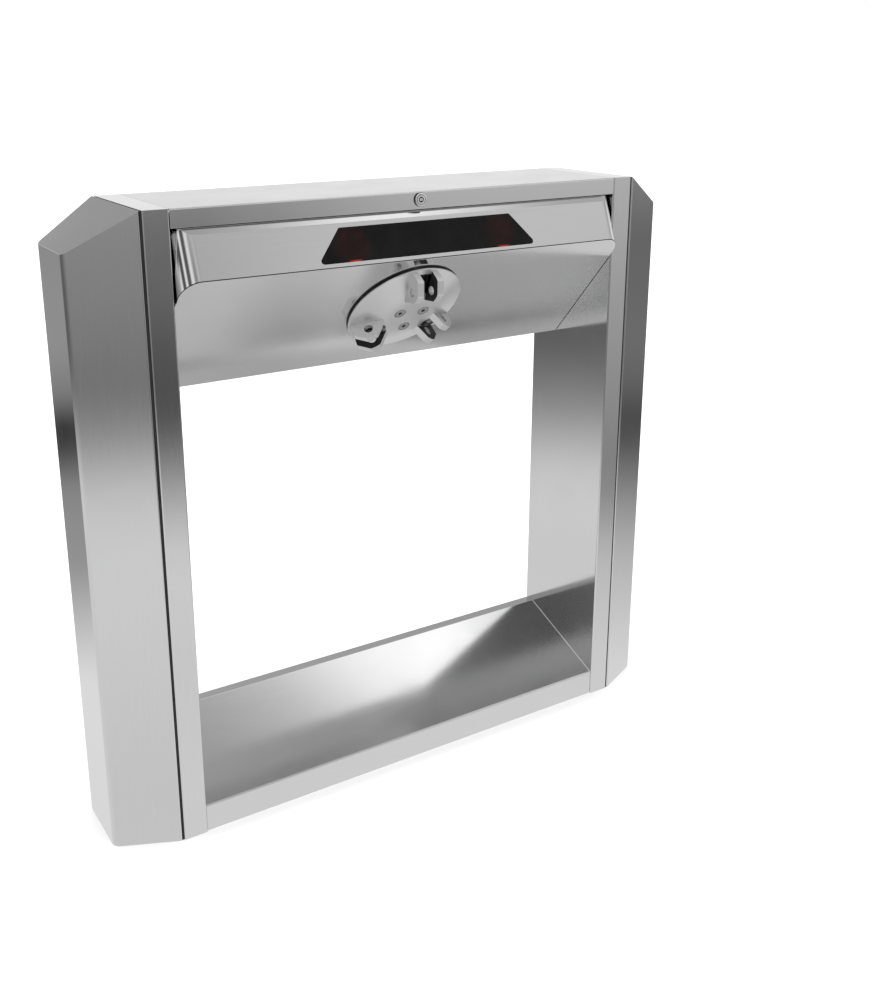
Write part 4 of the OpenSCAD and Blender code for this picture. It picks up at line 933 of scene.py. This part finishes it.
# What the steel reflects: heights of the direction, and a column of tones for each sector of the compass.
# Angles run from the front towards the right; each sector gives way to the next between two angles.
# The tones over the highest parts are shared by several sectors.
HEIGHTS = (
    -1.0, -0.9, -0.8, -0.7, -0.56, -0.48, -0.40, -0.37, -0.34, -0.31, -0.29, -0.265, -0.23, -0.19,
    -0.14, -0.05, 0.05, 0.13, 0.20, 0.30, 0.42, 0.58, 0.66, 0.72, 0.77, 0.81, 0.83, 0.85, 0.88,
    0.91, 0.94, 1.0)
OVERHEAD = (1.2, 1.45, 1.25, 0.60, 0.38, 0.4)
EVEN = (0.4,) * 6
ASIDE = (0.11, 0.26, 0.35, 0.4, 0.4, 0.4)
SECTORS = (
    ("left side", None, (
        0.70, 0.74, 0.78, 0.80, 0.85, 0.88, 0.36, 0.34, 0.30, 0.08, 0.03, 0.25, 0.34, 0.34, 0.32,
        0.40, 0.80, 0.80, 0.50, 0.36, 0.40, 0.50, 0.50, 0.50, 0.50, 0.40) + EVEN),
    ("left rear", (-155, -146), (
        0.70, 0.50, 0.65, 0.80, 0.80, 0.80, 0.77, 0.80, 0.80, 0.55, 0.35, 0.24, 0.13, 0.14, 0.15,
        0.30, 0.80, 0.80, 0.50, 0.36, 0.40, 0.50, 0.50, 0.40, 0.14, 0.10) + ASIDE),
    ("left front", (-115, -60), (
        0.50, 0.20, 0.55, 0.80, 0.74, 0.80, 0.84, 0.80, 0.72, 0.40, 0.28, 0.20, 0.25, 0.29, 0.31,
        0.40, 0.80, 0.80, 0.50, 0.40, 0.40, 0.82, 0.84, 0.60, 0.24, 0.16) + ASIDE),
    ("front", (-15, 8), (
        0.70, 0.74, 0.78, 0.80, 0.80, 0.76, 0.84, 0.64, 0.41, 0.14, 0.09, 0.09, 0.11, 0.16, 0.17,
        0.35, 0.90, 0.90, 0.55, 0.45, 0.48, 0.50, 0.57, 0.80, 0.85, 0.45) + EVEN),
    ("front right", (21, 33), (
        0.70, 0.74, 0.78, 0.80, 0.82, 0.82, 0.64, 0.42, 0.25, 0.30, 0.33, 0.35, 0.39, 0.43, 0.50,
        0.60, 0.90, 0.90, 0.62, 0.62, 0.68, 0.60, 1.00, 0.95, 0.80, 0.45) + EVEN),
    ("beside the right", (34, 38), (
        0.70, 0.74, 0.78, 0.80, 0.82, 0.82, 0.64, 0.42, 0.25, 0.30, 0.33, 0.35, 0.39, 0.43, 0.50,
        0.60, 0.90, 0.90, 0.62, 0.62, 0.68, 0.60, 1.20, 0.62, 0.0, 0.30) + EVEN),
    ("right", (58, 80), (
        0.60, 0.45, 0.72, 0.76, 0.85, 0.87, 0.59, 0.43, 0.25, 0.10, 0.08, 0.16, 0.20, 0.18, 0.17,
        0.35, 0.90, 0.95, 0.55, 0.35, 0.40, 0.50, 0.50, 0.50, 0.50, 0.90) + OVERHEAD),
    ("right rear", (118, 136), (
        0.60, 0.50, 0.72, 0.76, 0.80, 0.80, 0.70, 0.50, 0.30, 0.10, 0.08, 0.10, 0.15, 0.20, 0.25,
        0.50, 0.95, 0.95, 0.60, 0.36, 0.40, 0.50, 0.50, 0.50, 0.50, 0.90) + OVERHEAD))
# Upright strip lights at the left front: angle and tone
STRIPS = ((-120, 0.10), (-108, 0.9), (-98, 0.9), (-90, 0.08), (-78, 0.08), (-72, 1.0), (-66, 1.0),
          (-60, 0.10), (-46, 0.10), (-38, 0.95), (-28, 0.95), (-18, 0.15), (-8, 0.15), (4, 0.75), (14, 0.5))
# Where the strips begin and end: heights of the direction, and angles, each as a soft step
STRIP_LOW, STRIP_HIGH = (0.02, 0.12), (0.46, 0.56)
STRIP_FROM, STRIP_TO = (-125, -118), (6, 16)


def mixed(tree, factor, a, b):
    """Colour between two others."""
    m = tree.nodes.new("ShaderNodeMix")
    m.data_type = "RGBA"
    tree.links.new(factor, m.inputs[0])
    tree.links.new(a, m.inputs[6])
    tree.links.new(b, m.inputs[7])
    return m.outputs[2]


def build_world():
    """The sectors' tones, blended round the compass, and the strip lights above the horizon. The camera
    itself sees plain white."""
    world = bpy.data.worlds.new("studio")
    bpy.context.scene.world = world
    world.use_nodes = True
    tree = world.node_tree
    tree.nodes.clear()
    out = tree.nodes.new("ShaderNodeOutputWorld")
    direction = tree.nodes.new("ShaderNodeTexCoord").outputs["Generated"]
    x, y, z = node(tree, "ShaderNodeSeparateXYZ", {0: direction}).outputs
    angle = maths(tree, "ARCTAN2", x, maths(tree, "MULTIPLY", y, -1.0))
    height = faded(tree, z, -1.0, 1.0)
    value = None
    for _, between, tones in SECTORS:
        column = ramp(tree, height, [((h + 1) / 2, v) for h, v in zip(HEIGHTS, tones)])
        if value is None:
            value = column
            continue
        value = mixed(tree, faded(tree, angle, *np.radians(between), how="SMOOTHSTEP"), value, column)
    strips = ramp(tree, faded(tree, angle, -math.pi, math.pi), [((a + 180) / 360, v) for a, v in STRIPS])
    band = maths(tree, "MULTIPLY", faded(tree, z, *STRIP_LOW), faded(tree, z, *STRIP_HIGH, 1.0, 0.0))
    past = faded(tree, angle, *np.radians(STRIP_FROM))
    short = faded(tree, angle, *np.radians(STRIP_TO), 1.0, 0.0)
    zone = maths(tree, "MULTIPLY", maths(tree, "MULTIPLY", band, past), short)
    value = mixed(tree, zone, value, strips)
    seen = node(tree, "ShaderNodeBackground", {"Color": (1, 1, 1, 1), "Strength": 1.0})
    shine = node(tree, "ShaderNodeBackground", {"Color": value, "Strength": 1.0})
    path = tree.nodes.new("ShaderNodeLightPath")
    both = node(tree, "ShaderNodeMixShader", {0: path.outputs["Is Camera Ray"], 1: shine.outputs[0],
                                              2: seen.outputs[0]})
    tree.links.new(both.outputs[0], out.inputs[0])


build_world()

camera_data = bpy.data.cameras.new("camera")
camera = bpy.data.objects.new("camera", camera_data)
bpy.context.scene.collection.objects.link(camera)
camera.location = (-0.9593, -1.6446, 1.1978)
camera.rotation_euler = (math.radians(90 - 16.7086), 0, math.radians(-32.3076))
camera_data.sensor_fit = "HORIZONTAL"
camera_data.sensor_width = 36
camera_data.lens = 48.09
camera_data.shift_x = 0.0118
camera_data.shift_y = -0.1079
bpy.context.scene.camera = camera
bpy.context.scene.view_settings.view_transform = "Standard"
bpy.context.scene.view_settings.look = "None"
